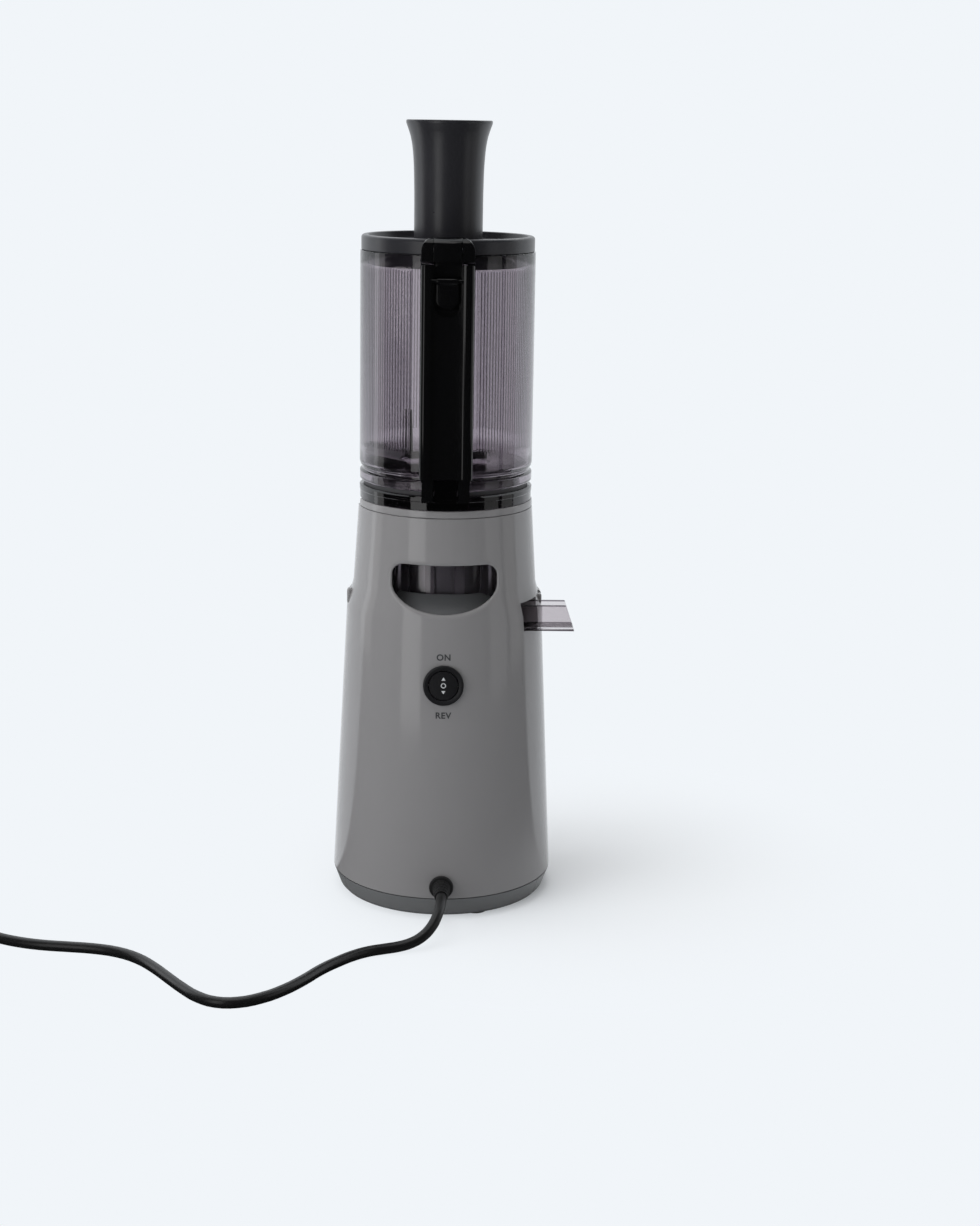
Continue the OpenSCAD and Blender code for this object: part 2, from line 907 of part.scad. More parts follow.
// Cutting blade that feeds the food down, keyed on the auger's neck inside the hopper
module feed_rotor() {
    color(black)
        difference() {
            union() {
                translate([0, 0, 286])
                    cylinder(h = 16, r = 14);
                translate([0, -2, 297])
                    cube([27.5, 4, 5]);
                translate([22, 0, 299])
                    rotate([90, 0, 0])
                        translate([0, 0, -1.3])
                            linear_extrude(2.6)
                                polygon([[0, 0], [5.4, 0], [3.4, 30], [1, 30]]);
                translate([-27.5, -2, 297])
                    cube([27.5, 4, 5]);
            }
            translate([0, 0, 280])
                cylinder(h = 12.1, r = 10);
        }
}

module juice_cap() {
    lug_r = 4.5;
    color(black)
        difference() {
            union() {
                translate([0, spout_end_y - 0.4, spout_z])
                    rotate([90, 0, 0])
                        cylinder(h = 3, r = spout_r + 0.8);
                for (x = [-7.4, 3.4])
                    translate([x, 0, 0]) {
                        translate([0, spout_end_y - 3.4, spout_z])
                            cube([4, 3, cap_hinge_z - spout_z]);
                        translate([0, spout_end_y + 4.5, cap_hinge_z])
                            rotate([0, 90, 0])
                                cylinder(h = 4, r = lug_r, $fn = 48);
                        translate([0, spout_end_y - 3.4, cap_hinge_z - 3])
                            cube([4, 8, 6]);
                    }
                translate([-7.4, spout_end_y - 3.4, cap_hinge_z + 5.4])
                    cube([14.8, 12, 3]);
                for (x = [-7.4, 3.4])
                    translate([x, spout_end_y - 3.4, cap_hinge_z])
                        cube([4, 5, 6]);
            }
            translate([-10, spout_end_y + 4.5, cap_hinge_z])
                rotate([0, 90, 0])
                    cylinder(h = 20, r = 1.56, $fn = 32);
        }
}

module juice_cap_seal() {
    color("#b9bbbe")
        translate([0, spout_end_y - 0.4, spout_z])
            rotate([-90, 0, 0])
                cylinder(h = 1.6, r = spout_r - 4);
}

module juice_cap_pin() {
    color(steel)
        translate([-7.4, spout_end_y + 4.5, cap_hinge_z])
            rotate([0, 90, 0])
                cylinder(h = 14.8, r = 1.5, $fn = 32);
}

module pulp_chute() {
    side_t = 1.8;
    floor_h = 2.2;
    width = chute_high_y - chute_low_y;
    color(smoke, 0.6)
        difference() {
            along_y(chute_low_y, chute_high_y)
                polygon([[-30, chute_low_z], [-87, chute_low_z], [-81, chute_top_z], [-30, chute_top_z]]);
            translate([-120, chute_low_y + side_t, chute_low_z + floor_h])
                cube([100, width - 2 * side_t, 40]);
            translate([0, 0, 150])
                cylinder(h = 100, r = chute_r);
        }
}

// ---------------------------------------------------------------- hopper

module hinge_room(grow) {
    translate([-spine_half_w - grow, hinge_y, hinge_z])
        rotate([0, 90, 0])
            cylinder(h = 2 * (spine_half_w + grow), r = hinge_sweep_r);
}

module hopper() {
    hopper_wall = 2.6;
    inner_r = hopper_r - hopper_wall;
    color(smoke, 0.55)
        difference() {
            rotate_extrude()
                polygon([[30, 292], [49.7, 292], [49.7, 278], [52.1, 278], [52.1, 284], [57, 284],
                    [57.7, 285], [57.7, 290.2], [55.9, 291.2], [55.9, 293.4], [57.3, 294.2],
                    [hopper_r, 296], [hopper_r - 0.3, hopper_top_z], [inner_r - 0.3, hopper_top_z],
                    [inner_r, 296], [inner_r - 1, 295], [30, 295]]);
            hinge_room(0.3);
        }
}

module feed_ramp() {
    color(black)
        intersection() {
            rotate_extrude()
                polygon([[31, 295.1], [54.2, 295.1], [54.9, 296.2], [54.9, 303], [53, 303], [31, 296.4]]);
            linear_extrude(400)
                polygon([[0, 0], [90, -60], [90, 60]]);
        }
}

module spine_outline() {
    corner_r = 3.2;
    right = arc([spine_half_w - corner_r, 66.5 - corner_r], corner_r, 0, 90, 6);
    left = arc([corner_r - spine_half_w, 66.5 - corner_r], corner_r, 90, 180, 6);
    polygon(concat([[-spine_half_w, 54], [spine_half_w, 54]], right, left));
}

// Fixed middle of the hinge, with the hood's outline, between the lid's two sides
module knuckle(half_w) {
    translate([-half_w, 0, 0])
        rotate([90, 0, 90])
            linear_extrude(2 * half_w)
                intersection() {
                    polygon(hood_profile);
                    union() {
                        translate([hinge_y, hinge_z])
                            circle(r = 8.1);
                        translate([57.95, hinge_z - 7])
                            square([12, 7]);
                    }
                }
}

module hopper_spine() {
    column_half_w = 9;
    color(black)
        difference() {
            union() {
                difference() {
                    translate([0, 0, 293.4])
                        linear_extrude(138.1)
                            spine_outline();
                    translate([-10.2, 64.7, 290])
                        cube([20.4, 10, 150]);
                    translate([0, 61.5, 405.9])
                        rotate([-90, 0, 0])
                            cylinder(h = 10, r = 8.9);
                    translate([-8.9, 61.5, 405.9])
                        cube([17.8, 10, 40]);
                    translate([-7.4, 57, 402])
                        cube([14.8, 6, 18.6]);
                    cylinder(h = 500, r = hopper_r + 0.05);
                    hinge_room(1);
                }
                for (x = [-15.5, 8])
                    translate([x, 58.3, 277.6])
                        cube([7.5, 3.2, 17]);
                difference() {
                    union() {
                        translate([-column_half_w, 58, 420])
                            cube([2 * column_half_w, 3.5, hinge_z - 420]);
                        knuckle(column_half_w);
                    }
                    cylinder(h = 500, r = hopper_r + 0.05);
                }
            }
            translate([-20, hinge_y, hinge_z])
                rotate([0, 90, 0])
                    cylinder(h = 40, r = 1.5, $fn = 48);
            translate([-10.4, latch_y, latch_z])
                rotate([0, 90, 0])
                    cylinder(h = 20.8, r = 1.4, $fn = 48);
        }
}

module hinge_pin() {
    color(steel)
        translate([-15.8, hinge_y, hinge_z])
            rotate([0, 90, 0])
                cylinder(h = 31.6, r = 1.5, $fn = 48);
}

module latch_pin() {
    color(steel)
        translate([-10.4, latch_y, latch_z])
            rotate([0, 90, 0])
                cylinder(h = 20.8, r = 1.4, $fn = 48);
}

module release_button() {
    half_w = 6.9;
    color(black)
        difference() {
            union() {
                intersection() {
                    union() {
                        translate([0, 62, 409.4])
                            rotate([-90, 0, 0])
                                cylinder(h = 2.6, r = half_w + 0.5);
                        translate([-half_w, 62, 409.4])
                            cube([2 * half_w, 2.6, 10.6]);
                    }
                    translate([-half_w, 60, 402.5])
                        cube([2 * half_w, 8, 18]);
                }
                translate([-half_w, latch_y, latch_z])
                    rotate([0, 90, 0])
                        cylinder(h = 2 * half_w, r = 2.2, $fn = 48);
            }
            translate([-20, latch_y, latch_z])
                rotate([0, 90, 0])
                    cylinder(h = 40, r = 1.46, $fn = 48);
        }
}

module lid() {
    feed_r = 23.2;
    rounding = arc([lid_r - 2.2, lid_top_z - 2.2], 2.2, 0, 90, 4);
    color(black)
        difference() {
            union() {
                rotate_extrude()
                    polygon(concat([[feed_r, 424], [feed_r + 2.2, 424], [feed_r + 2.2, 438], [52, 438],
                        [51.4, 425.5], [53.2, 425.5], [54.2, 434], [54.2, hopper_top_z + 0.3],
                        [lid_r, hopper_top_z + 0.3]], rounding,
                        [[52.4, lid_top_z], [51.6, 440.5], [feed_r + 2.2, 440.5], [feed_r + 1, 441.6], [feed_r, 441.6]]));
                hood();
            }
            translate([-9.4, hinge_y, hinge_z])
                rotate([0, 90, 0])
                    cylinder(h = 18.8, r = 8.5);
            translate([-9.4, 57.6, hinge_z - 14])
                cube([18.8, 14, 28]);
            translate([-30, hinge_y, hinge_z])
                rotate([0, 90, 0])
                    cylinder(h = 60, r = 1.56, $fn = 48);
        }
}

// Rounded hood over the hinge, part of the lid
module hood() {
    half_w = 16.8;
    intersection() {
        translate([-half_w, 0, 0])
            rotate([90, 0, 90])
                linear_extrude(2 * half_w)
                    polygon(hood_profile);
        along_y(40, 80)
            polygon(concat([[-half_w, 430], [half_w, 430]], arc([half_w - 5, 441.5], 5, 0, 90, 6),
                arc([5 - half_w, 441.5], 5, 90, 180, 6)));
    }
}

module pusher() {
    stem_z = 425.5;
    lip = arc([pusher_flare_r - 1.2, pusher_top_z - 1.2], 1.2, -30, 90, 4);
    color(black)
        rotate_extrude()
            polygon(concat([[0, stem_z], [pusher_r - 1.5, stem_z], [pusher_r - 0.2, stem_z + 1.3],
                [pusher_r - 0.2, 466], [pusher_r, 480], [pusher_r + 0.3, 490], [pusher_r + 0.8, 498],
                [pusher_r + 1.7, 504.5], [pusher_r + 3.4, 511]], lip,
                [[pusher_flare_r - 2.4, pusher_top_z], [pusher_r - 2, 500], [pusher_r - 2.8, 484],
                    [pusher_r - 2.8, 430], [0, 430]]));
}

raised() tower_shell();
raised() rim_ring();
raised() bottom_cover();
raised() feet();
raised() base_screws();
raised() deck_screws();
raised() bowl_seat();
raised() shaft_seal();
raised() motor_can();
raised() motor_stator();
raised() motor_coils();
raised() motor_bearings();
raised() motor_rotor();
raised() cooling_fan();
raised() gearbox_housing();
raised() gearbox_cover();
raised() gear_axles();
raised() first_gear();
raised() second_gear();
raised() output_gear();
raised() output_shaft();
raised() shaft_bearings();
raised() circuit_board();
raised() switch_bezel();
raised() switch_body();
raised() switch_pin();
raised() switch_rocker();
raised() strain_relief();
raised() cord_clamp();
power_cord();
cord_coil();
cord_tie();
power_plug();
plug_pins();
raised() juicing_bowl();
raised() rim_gasket();
raised() auger_seal();
raised() strainer_frame();
raised() strainer_mesh();
raised() auger();
raised() feed_rotor();
raised() juice_cap();
raised() juice_cap_seal();
raised() juice_cap_pin();
raised() pulp_chute();
raised() hopper();
raised() feed_ramp();
raised() hopper_spine();
raised() hinge_pin();
raised() latch_pin();
raised() release_button();
raised() lid();
raised() pusher();
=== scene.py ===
"""Looks of the cold press juicer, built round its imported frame."""

import math

import bpy
from mathutils import Matrix, Vector


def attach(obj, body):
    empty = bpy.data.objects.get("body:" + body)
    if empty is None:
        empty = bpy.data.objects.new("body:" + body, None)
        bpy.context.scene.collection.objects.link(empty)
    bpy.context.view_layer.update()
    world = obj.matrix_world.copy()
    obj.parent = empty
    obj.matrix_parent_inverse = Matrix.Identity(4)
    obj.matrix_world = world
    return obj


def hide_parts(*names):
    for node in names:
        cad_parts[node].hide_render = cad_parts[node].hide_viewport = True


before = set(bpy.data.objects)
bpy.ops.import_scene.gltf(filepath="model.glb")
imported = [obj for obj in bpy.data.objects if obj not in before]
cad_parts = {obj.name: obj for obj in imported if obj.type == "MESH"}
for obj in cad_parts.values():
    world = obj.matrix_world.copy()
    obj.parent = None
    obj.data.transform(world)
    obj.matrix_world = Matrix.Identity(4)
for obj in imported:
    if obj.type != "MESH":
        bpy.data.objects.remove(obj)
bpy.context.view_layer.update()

bl_info = {
    "name": "Cold press juicer",
    "version": (1, 0, 0),
    "blender": (4, 5, 0),
    "location": "View3D > Sidebar > Juicer",
    "description": "Builds the pieces and finishes of a tower juicer with a smoky hopper",
    "category": "Object",
}

# Levels of the real object, in millimetres, over a plane that lies LIFT above the table.
# Front is -Y, the rear with the switch is +Y.
LIFT = 4
FOOT_R, SHOULDER_W, SHOULDER_D, BAY_R, RIM_R = 75.6, 66.4, 63.2, 61.9, 58.2
FOOT_Z, SHOULDER_Z, BAY_Z, SEAM_Z, RIM_Z = 11, 197, 215, 266.6, 271.4
# Level, half width and half depth of the tower's outside where its slope changes
TOWER = [
    (FOOT_Z, FOOT_R, FOOT_R), (SHOULDER_Z, SHOULDER_W, SHOULDER_D), (BAY_Z, BAY_R, BAY_R), (RIM_Z, RIM_R, RIM_R),
]
WALL = 2.6
REAR_SLOPE = (FOOT_R - SHOULDER_D) / (SHOULDER_Z - FOOT_Z)
SWITCH_Z, LEAD_Z = 156.8, 19.5
HOPPER_R, HOPPER_TOP = 57.9, 435
# The flutes leave a clear band on each side of the spine: degrees from the rear toward -X and toward +X
FLUTES_FROM = (20.5, 24.5)
FLUTES_LOW, FLUTES_HIGH = 309, 424.5
# The lid's hinge line runs along X at this depth and level
HINGE = (61, 438.5)
LID_R, LID_TOP = 56.9, 445

LEAD_ROUTE = [
    (0, 93, 23.5), (0, 100, 23.3), (0.9, 107.1, 21), (2.9, 113.8, 17.3), (6.3, 119.7, 13),
    (11.4, 124.4, 9), (18.2, 127.9, 6), (26.6, 130.3, 4.2), (36, 132.9, 3.6), (45.7, 137, 3.6),
    (55.4, 143.9, 3.6), (64.9, 153.8, 3.6), (74.5, 165.8, 3.6), (84.7, 182.3, 3.6),
    (95.8, 197.1, 3.6), (108.1, 208.4, 3.6), (121.7, 215, 3.6), (134.9, 214.8, 3.6),
    (146.8, 207.4, 3.6), (157.4, 195.1, 3.6), (168.2, 180.1, 3.6), (179.4, 164.4, 3.6),
    (191.6, 150.7, 3.6), (205.7, 141.1, 3.6), (221.7, 135.8, 3.6), (238.8, 133.1, 3.6),
    (255.9, 130.5, 3.6), (272.4, 125.9, 3.7), (288.3, 118.7, 4), (302.1, 109.3, 4.3),
    (311.5, 97.6, 4.6), (315.4, 85.3, 4.8), (315.4, 78.2, 4.8),
]
COIL_CENTRE, COIL_Z, COIL_R, COIL_PITCH = (358.5, 78.2), 4.8, 27.9, 7.55
LEAD_LENGTH, LEAD_D = 1.23, 7

# Vertices nearer than this, in metres, are one.
DOUBLES = 2e-6
# The values of a noise lie mostly between these two.
NOISE_SPAN = {"From Min": 0.3, "From Max": 0.7}


def tone(colour):
    """Blender's linear colour for an sRGB hex value; a colour from the panel is linear already."""
    if not isinstance(colour, str):
        return (*colour, 1.0)
    parts = [int(colour[i : i + 2], 16) / 255 for i in (1, 3, 5)]
    return (*[c / 12.92 if c <= 0.04045 else ((c + 0.055) / 1.055) ** 2.4 for c in parts], 1.0)


def colour_property(name, hex_colour, description):
    return bpy.props.FloatVectorProperty(
        name=name, description=description, default=tone(hex_colour)[:3], subtype="COLOR", size=3, min=0, max=1
    )


def length_property(name, millimetres, description):
    return bpy.props.FloatProperty(
        name=name, description=description, default=millimetres / 1000, subtype="DISTANCE", unit="LENGTH", min=0
    )


class JuicerSizes(bpy.types.PropertyGroup):
    flute_count: bpy.props.IntProperty(
        name="Flutes", description="Upright flutes round the inside of the hopper", default=160, min=24, max=240
    )
    flute_depth: length_property("Flute depth", 0.15, "Depth of each flute in the hopper's wall")
    slot_lip: length_property("Grip lip", 3.2, "Rounding of the grip slot's edge")
    mark_height: length_property("Mark height", 4.2, "Height of the letters beside the switch")
    rocker_dish: length_property("Rocker dish", 0.7, "How far the rocker's face is hollowed")


class JuicerColours(bpy.types.PropertyGroup):
    shell: colour_property("Shell", "#807f80", "Satin grey of the tower")
    # Painted shade: this darker grey stands for the shadow on the ledge inside the grip slot; the deck itself is the
    # shell's grey.
    seat: colour_property("Seat", "#505153", "Darker grey of the deck under the bowl")
    cover: colour_property("Bottom cover", "#626364", "Grey of the bottom cover")
    lid: colour_property("Lid", "#26262a", "Charcoal of the lid and pusher")
    gloss: colour_property("Gloss black", "#070708", "Black of the spine and hood")
    smoke: colour_property("Smoke", "#c8c2c8", "Tint of the hopper's clear wall")
    backdrop: colour_property("Backdrop", "#f1f5f9", "Pale ground and surroundings")


# ---------------------------------------------------------------- drawing


def metres(*values):
    return tuple(v / 1000 for v in values)


def circle_point(radius, degrees):
    return radius * math.cos(math.radians(degrees)), radius * math.sin(math.radians(degrees))


def leave_edit():
    bpy.ops.object.mode_set(mode="OBJECT")


def edit_all():
    """Enters edit mode with the whole mesh selected."""
    bpy.ops.object.mode_set(mode="EDIT")
    bpy.ops.mesh.select_all(action="SELECT")


def clear_selection():
    if bpy.context.object and bpy.context.object.mode != "OBJECT":
        leave_edit()
    bpy.ops.object.select_all(action="DESELECT")


def activate(piece):
    clear_selection()
    piece.select_set(True)
    bpy.context.view_layer.objects.active = piece


def settle(piece, lay=None):
    """Moves a piece by a matrix and writes its place into its mesh."""
    activate(piece)
    if lay is not None:
        piece.matrix_world = lay @ piece.matrix_world
    bpy.ops.object.transform_apply(location=True, rotation=True, scale=True)
    return piece


def named(name):
    piece = bpy.context.object
    piece.name = piece.data.name = name
    return piece


def smooth(piece, degrees=35):
    """Shades a piece smooth, apart from edges sharper than the angle."""
    activate(piece)
    bpy.ops.object.shade_smooth_by_angle(angle=math.radians(degrees))
    return piece


def join(piece, *others):
    activate(piece)
    for other in others:
        other.select_set(True)
    bpy.ops.object.join()


def draw(name, points):
    """Draws a closed line through points, in millimetres, and leaves it in edit mode."""
    clear_selection()
    bpy.ops.mesh.primitive_plane_add(size=0.002, location=metres(*points[0]))
    piece = settle(named(name))
    bpy.ops.object.mode_set(mode="EDIT")
    bpy.ops.mesh.select_mode(type="VERT")
    bpy.ops.mesh.select_all(action="SELECT")
    bpy.ops.mesh.merge(type="CENTER")
    for a, b in zip(points, points[1:] + points[:1]):
        step = metres(*(q - p for p, q in zip(a, b)))
        bpy.ops.mesh.extrude_vertices_move(TRANSFORM_OT_translate={"value": step})
    bpy.ops.mesh.select_all(action="SELECT")
    bpy.ops.mesh.remove_doubles(threshold=1e-6)
    return piece


def rounded(corners, steps=4):
    """A closed outline through corners (x, y) or (x, y, radius); a corner with a radius becomes an arc."""
    outline = []
    for i, corner in enumerate(corners):
        at = Vector(corner[:2])
        radius = corner[2] if len(corner) > 2 else 0
        if not radius:
            outline.append(tuple(at))
            continue
        back = Vector(corners[i - 1][:2]) - at
        ahead = Vector(corners[(i + 1) % len(corners)][:2]) - at
        half = back.angle(ahead) / 2
        # An arc takes up less than half of each side beside it.
        reach = min(radius / math.tan(half), 0.49 * back.length, 0.49 * ahead.length)
        radius = reach * math.tan(half)
        centre = at + (back.normalized() + ahead.normalized()).normalized() * radius / math.sin(half)
        start = at + back.normalized() * reach - centre
        end = at + ahead.normalized() * reach - centre
        turn = start.angle_signed(end)
        for k in range(steps + 1):
            spoke = Matrix.Rotation(-turn * k / steps, 2) @ start
            outline.append(tuple(centre + spoke))
    return outline


def finish_mesh(piece, degrees=35):
    """Merges doubles, turns the faces outward and smooths all but the sharp edges."""
    activate(piece)
    edit_all()
    bpy.ops.mesh.remove_doubles(threshold=DOUBLES)
    bpy.ops.mesh.normals_make_consistent(inside=False)
    leave_edit()
    return smooth(piece, degrees)


def lathe(name, outline, steps=128, turn=360, start=0, lay=None, degrees=35):
    """A turned piece: its half section (radius, height) is drawn, closed and spun about Z."""
    piece = draw(name, [(r, 0, z) for r, z in outline])
    if start:
        bpy.ops.transform.rotate(value=-math.radians(start), orient_axis="Z", center_override=(0, 0, 0))
    bpy.ops.mesh.select_all(action="SELECT")
    bpy.ops.mesh.spin(steps=steps, angle=math.radians(turn), center=(0, 0, 0), axis=(0, 0, 1))
    bpy.ops.mesh.select_all(action="SELECT")
    bpy.ops.mesh.remove_doubles(threshold=DOUBLES)
    if turn < 360:
        for side in (1, -1):
            choose(piece, lambda co: co.x * side > 0, rim_only=True)
            bpy.ops.mesh.edge_face_add()
    leave_edit()
    finish_mesh(piece, degrees)
    return settle(piece, lay)


def plate(name, outline, low, high, lay=None):
    """A flat outline in X and Y, filled and pushed from low to high along Z."""
    piece = draw(name, [(x, y, low) for x, y in outline])
    bpy.ops.mesh.edge_face_add()
    bpy.ops.mesh.extrude_region_move(TRANSFORM_OT_translate={"value": metres(0, 0, high - low)})
    leave_edit()
    finish_mesh(piece)
    return settle(piece, lay)


def choose(piece, test, rim_only=False):
    """Selects the vertices, in edit mode, whose place in millimetres passes the test."""
    bpy.ops.mesh.select_mode(type="VERT")
    bpy.ops.mesh.select_all(action="DESELECT")
    if rim_only:
        bpy.ops.mesh.select_non_manifold(
            extend=False, use_wire=False, use_multi_face=False, use_non_contiguous=False, use_verts=False
        )
    leave_edit()
    for v in piece.data.vertices:
        v.select = test(v.co * 1000) and (v.select or not rim_only)
    for e in piece.data.edges:
        e.select = all(piece.data.vertices[i].select for i in e.vertices)
    for f in piece.data.polygons:
        f.select = not rim_only and all(piece.data.vertices[i].select for i in f.vertices)
    bpy.ops.object.mode_set(mode="EDIT")


def widen(piece, test, x_share, y_share):
    """Scales the chosen vertices about the tower's axis, in edit mode."""
    choose(piece, test)
    bpy.ops.transform.resize(value=(x_share, y_share, 1), center_override=(0, 0, 0))


def modify(piece, kind, **settings):
    """Adds a modifier with its settings and applies it."""
    activate(piece)
    modifier = piece.modifiers.new(kind.title(), kind)
    for key, value in settings.items():
        setattr(modifier, key, value)
    bpy.ops.object.modifier_apply(modifier=modifier.name)


def combine(piece, other, operation="DIFFERENCE"):
    """Cuts one piece by another, or fuses the two, and clears the other away."""
    modify(piece, "BOOLEAN", operation=operation, object=other, solver="EXACT")
    bpy.data.objects.remove(other)


def ease(piece, width, steps=2, angle=32):
    """Rounds a piece's sharp edges, as a mould's do."""
    modify(piece, "BEVEL", width=width / 1000, segments=steps, limit_method="ANGLE",
           angle_limit=math.radians(angle), harden_normals=False, miter_outer="MITER_ARC")
    return smooth(piece)


def rod(name, radius, length, lay, steps=64):
    """A plain round bar along its own Z."""
    half = length / 2
    return lathe(name, rounded([(0, -half), (radius, -half), (radius, half), (0, half)]), steps, lay=lay)


def block(name, low, high, edge=0.0, steps=3):
    """A squared block between two corners, with rounded edges."""
    clear_selection()
    middle = [(a + b) / 2 for a, b in zip(low, high)]
    size = [b - a for a, b in zip(low, high)]
    bpy.ops.mesh.primitive_cube_add(size=0.001, location=metres(*middle), scale=size)
    piece = settle(named(name))
    if edge:
        edit_all()
        bpy.ops.mesh.bevel(offset=edge / 1000, segments=steps, affect="EDGES")
        leave_edit()
    return piece


def eased_copy(node, name, width):
    """A CAD node's solid with its moulded edges rounded."""
    activate(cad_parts[node])
    bpy.ops.object.duplicate()
    piece = named(name)
    piece.parent = None
    for key in list(piece.keys()):
        del piece[key]
    piece.matrix_world = Matrix.Identity(4)
    edit_all()
    bpy.ops.mesh.customdata_custom_splitnormals_clear()
    bpy.ops.mesh.remove_doubles(threshold=DOUBLES)
    bpy.ops.mesh.dissolve_limited(angle_limit=math.radians(0.6))
    leave_edit()
    return ease(piece, width)


def move(x, y, z):
    return Matrix.Translation(metres(x, y, z))


def turned(axis, degrees):
    return Matrix.Rotation(math.radians(degrees), 4, axis)


def half_sizes(z):
    """Half width and half depth of the tower's outside at a level."""
    for (low, low_w, low_d), (high, high_w, high_d) in zip(TOWER, TOWER[1:]):
        if z <= high:
            t = (z - low) / (high - low)
            return low_w + (high_w - low_w) * t, low_d + (high_d - low_d) * t


def rear_y(z):
    """Depth of the sloping rear wall at a level under the shoulder."""
    return FOOT_R - REAR_SLOPE * (z - FOOT_Z)


def on_rear(z):
    """Placement square to the sloping rear wall: its own Z points out and its own Y points down."""
    return move(0, rear_y(z), z) @ Matrix.Rotation(math.atan(REAR_SLOPE) - math.pi / 2, 4, "X")


# ---------------------------------------------------------------- finishes


def add(tree, kind, inputs=None, **settings):
    """Adds a shader node with settings and inputs. A node as a value is linked by its first output in use."""
    node = tree.nodes.new("ShaderNode" + kind)
    for key, value in settings.items():
        setattr(node, key, value)
    for socket, value in (inputs or {}).items():
        if isinstance(value, bpy.types.Node):
            value = next(output for output in value.outputs if output.enabled)
        if isinstance(value, bpy.types.NodeSocket):
            tree.links.new(value, node.inputs[socket])
        else:
            node.inputs[socket].default_value = value
    return node


def blank(name):
    """An empty material, its tree, and where a point lies on the piece, in metres."""
    material = bpy.data.materials.new(name)
    material.use_nodes = True
    tree = material.node_tree
    tree.nodes.clear()
    return material, tree, add(tree, "TexCoord").outputs["Object"]


def grain_size(millimetres):
    """Noise scale for features of that size."""
    return 1000 / millimetres


def shades(colour, drift):
    """A darker and a paler shade of a colour, for a noise to run between."""
    return [(*[min(1, c * (1 + way * drift)) for c in tone(colour)[:3]], 1) for way in (-1, 1)]


def plastic(name, colour, rough, grain=0.9, grain_height=0.02, drift=0.06, ior=1.53, scuffs=0.0, zone=None):
    """Moulded plastic: a spark-eroded grain, a slow drift in shade, handling that dulls or polishes it, and painted
    shade along a zone.
    """
    material, tree, place = blank(name)
    slow = add(tree, "TexNoise", {"Vector": place, "Scale": grain_size(45), "Detail": 3.0})
    fine = add(tree, "TexNoise", {"Vector": place, "Scale": grain_size(grain)})
    wipe = add(tree, "TexNoise", {"Vector": place, "Scale": grain_size(14), "Detail": 5.0, "Roughness": 0.65})
    dark, light = shades(colour, drift)
    tint = add(tree, "Mix", {"Factor": slow, "A": dark, "B": light}, data_type="RGBA")
    # Painted shade: between start and end along one axis, the colour turns to the darker one given, as if a shadow
    # lay there.
    if zone:
        axis, start, end, other = zone
        along = add(tree, "SeparateXYZ", {0: place}).outputs[axis]
        share = add(tree, "MapRange", {"Value": along, "From Min": start / 1000, "From Max": end / 1000})
        tint = add(tree, "Mix", {"Factor": share, "A": tint, "B": tone(other)}, data_type="RGBA")
    roughness = add(tree, "MapRange", {"Value": wipe, **NOISE_SPAN, "To Min": rough[0], "To Max": rough[1]})
    bump = add(tree, "Bump", {"Height": fine, "Strength": 1.0, "Distance": grain_height / 1000})
    if scuffs:
        streaks = add(tree, "Mapping", {"Vector": place, "Scale": (1.0, 1.0, 14.0)})
        lines = add(tree, "TexNoise", {
            "Vector": streaks, "Scale": grain_size(9), "Detail": 6.0, "Roughness": 0.7})
        bump = add(tree, "Bump", {"Height": lines, "Strength": scuffs, "Distance": 0.00004, "Normal": bump})
    shader = add(tree, "BsdfPrincipled", {
        "Base Color": tint, "Roughness": roughness, "IOR": ior, "Normal": bump})
    add(tree, "OutputMaterial", {"Surface": shader})
    return material


def flute_lines(tree, place, count):
    """How much of a shadow line lies at a point: thin upright lines between the hopper's flutes."""
    xyz = add(tree, "SeparateXYZ", {0: place}).outputs
    angle = add(tree, "Math", {0: xyz["X"], 1: xyz["Y"]}, operation="ARCTAN2")
    wave = add(tree, "Math", {0: angle, 1: float(count)}, operation="MULTIPLY")
    wave = add(tree, "Math", {0: wave}, operation="COSINE")
    line = add(tree, "MapRange", {"Value": wave, "From Min": 0.1, "From Max": 0.85},
               interpolation_type="SMOOTHSTEP")
    flat = add(tree, "VectorMath", {0: place, 1: (1, 1, 0)}, operation="MULTIPLY")
    radius = add(tree, "VectorMath", {0: flat}, operation="LENGTH")
    # The clear band's middle lies a little off the rear, because its two sides differ.
    toward_minus, toward_plus = (math.radians(a) for a in FLUTES_FROM)
    inner_wall = (HOPPER_R - 1.1) / 1000
    turn = add(tree, "Math", {0: angle, 1: (toward_plus - toward_minus) / 2}, operation="SUBTRACT")
    turn = add(tree, "Math", {0: turn}, operation="ABSOLUTE")
    bounds = (
        (radius, "LESS_THAN", inner_wall),
        (turn, "GREATER_THAN", (toward_plus + toward_minus) / 2),
        (xyz["Z"], "GREATER_THAN", (FLUTES_LOW + LIFT) / 1000),
        (xyz["Z"], "LESS_THAN", (FLUTES_HIGH + LIFT) / 1000),
    )
    for value, test, limit in bounds:
        inside = add(tree, "Math", {0: value, 1: limit}, operation=test)
        line = add(tree, "Math", {0: line, 1: inside}, operation="MULTIPLY")
    return line


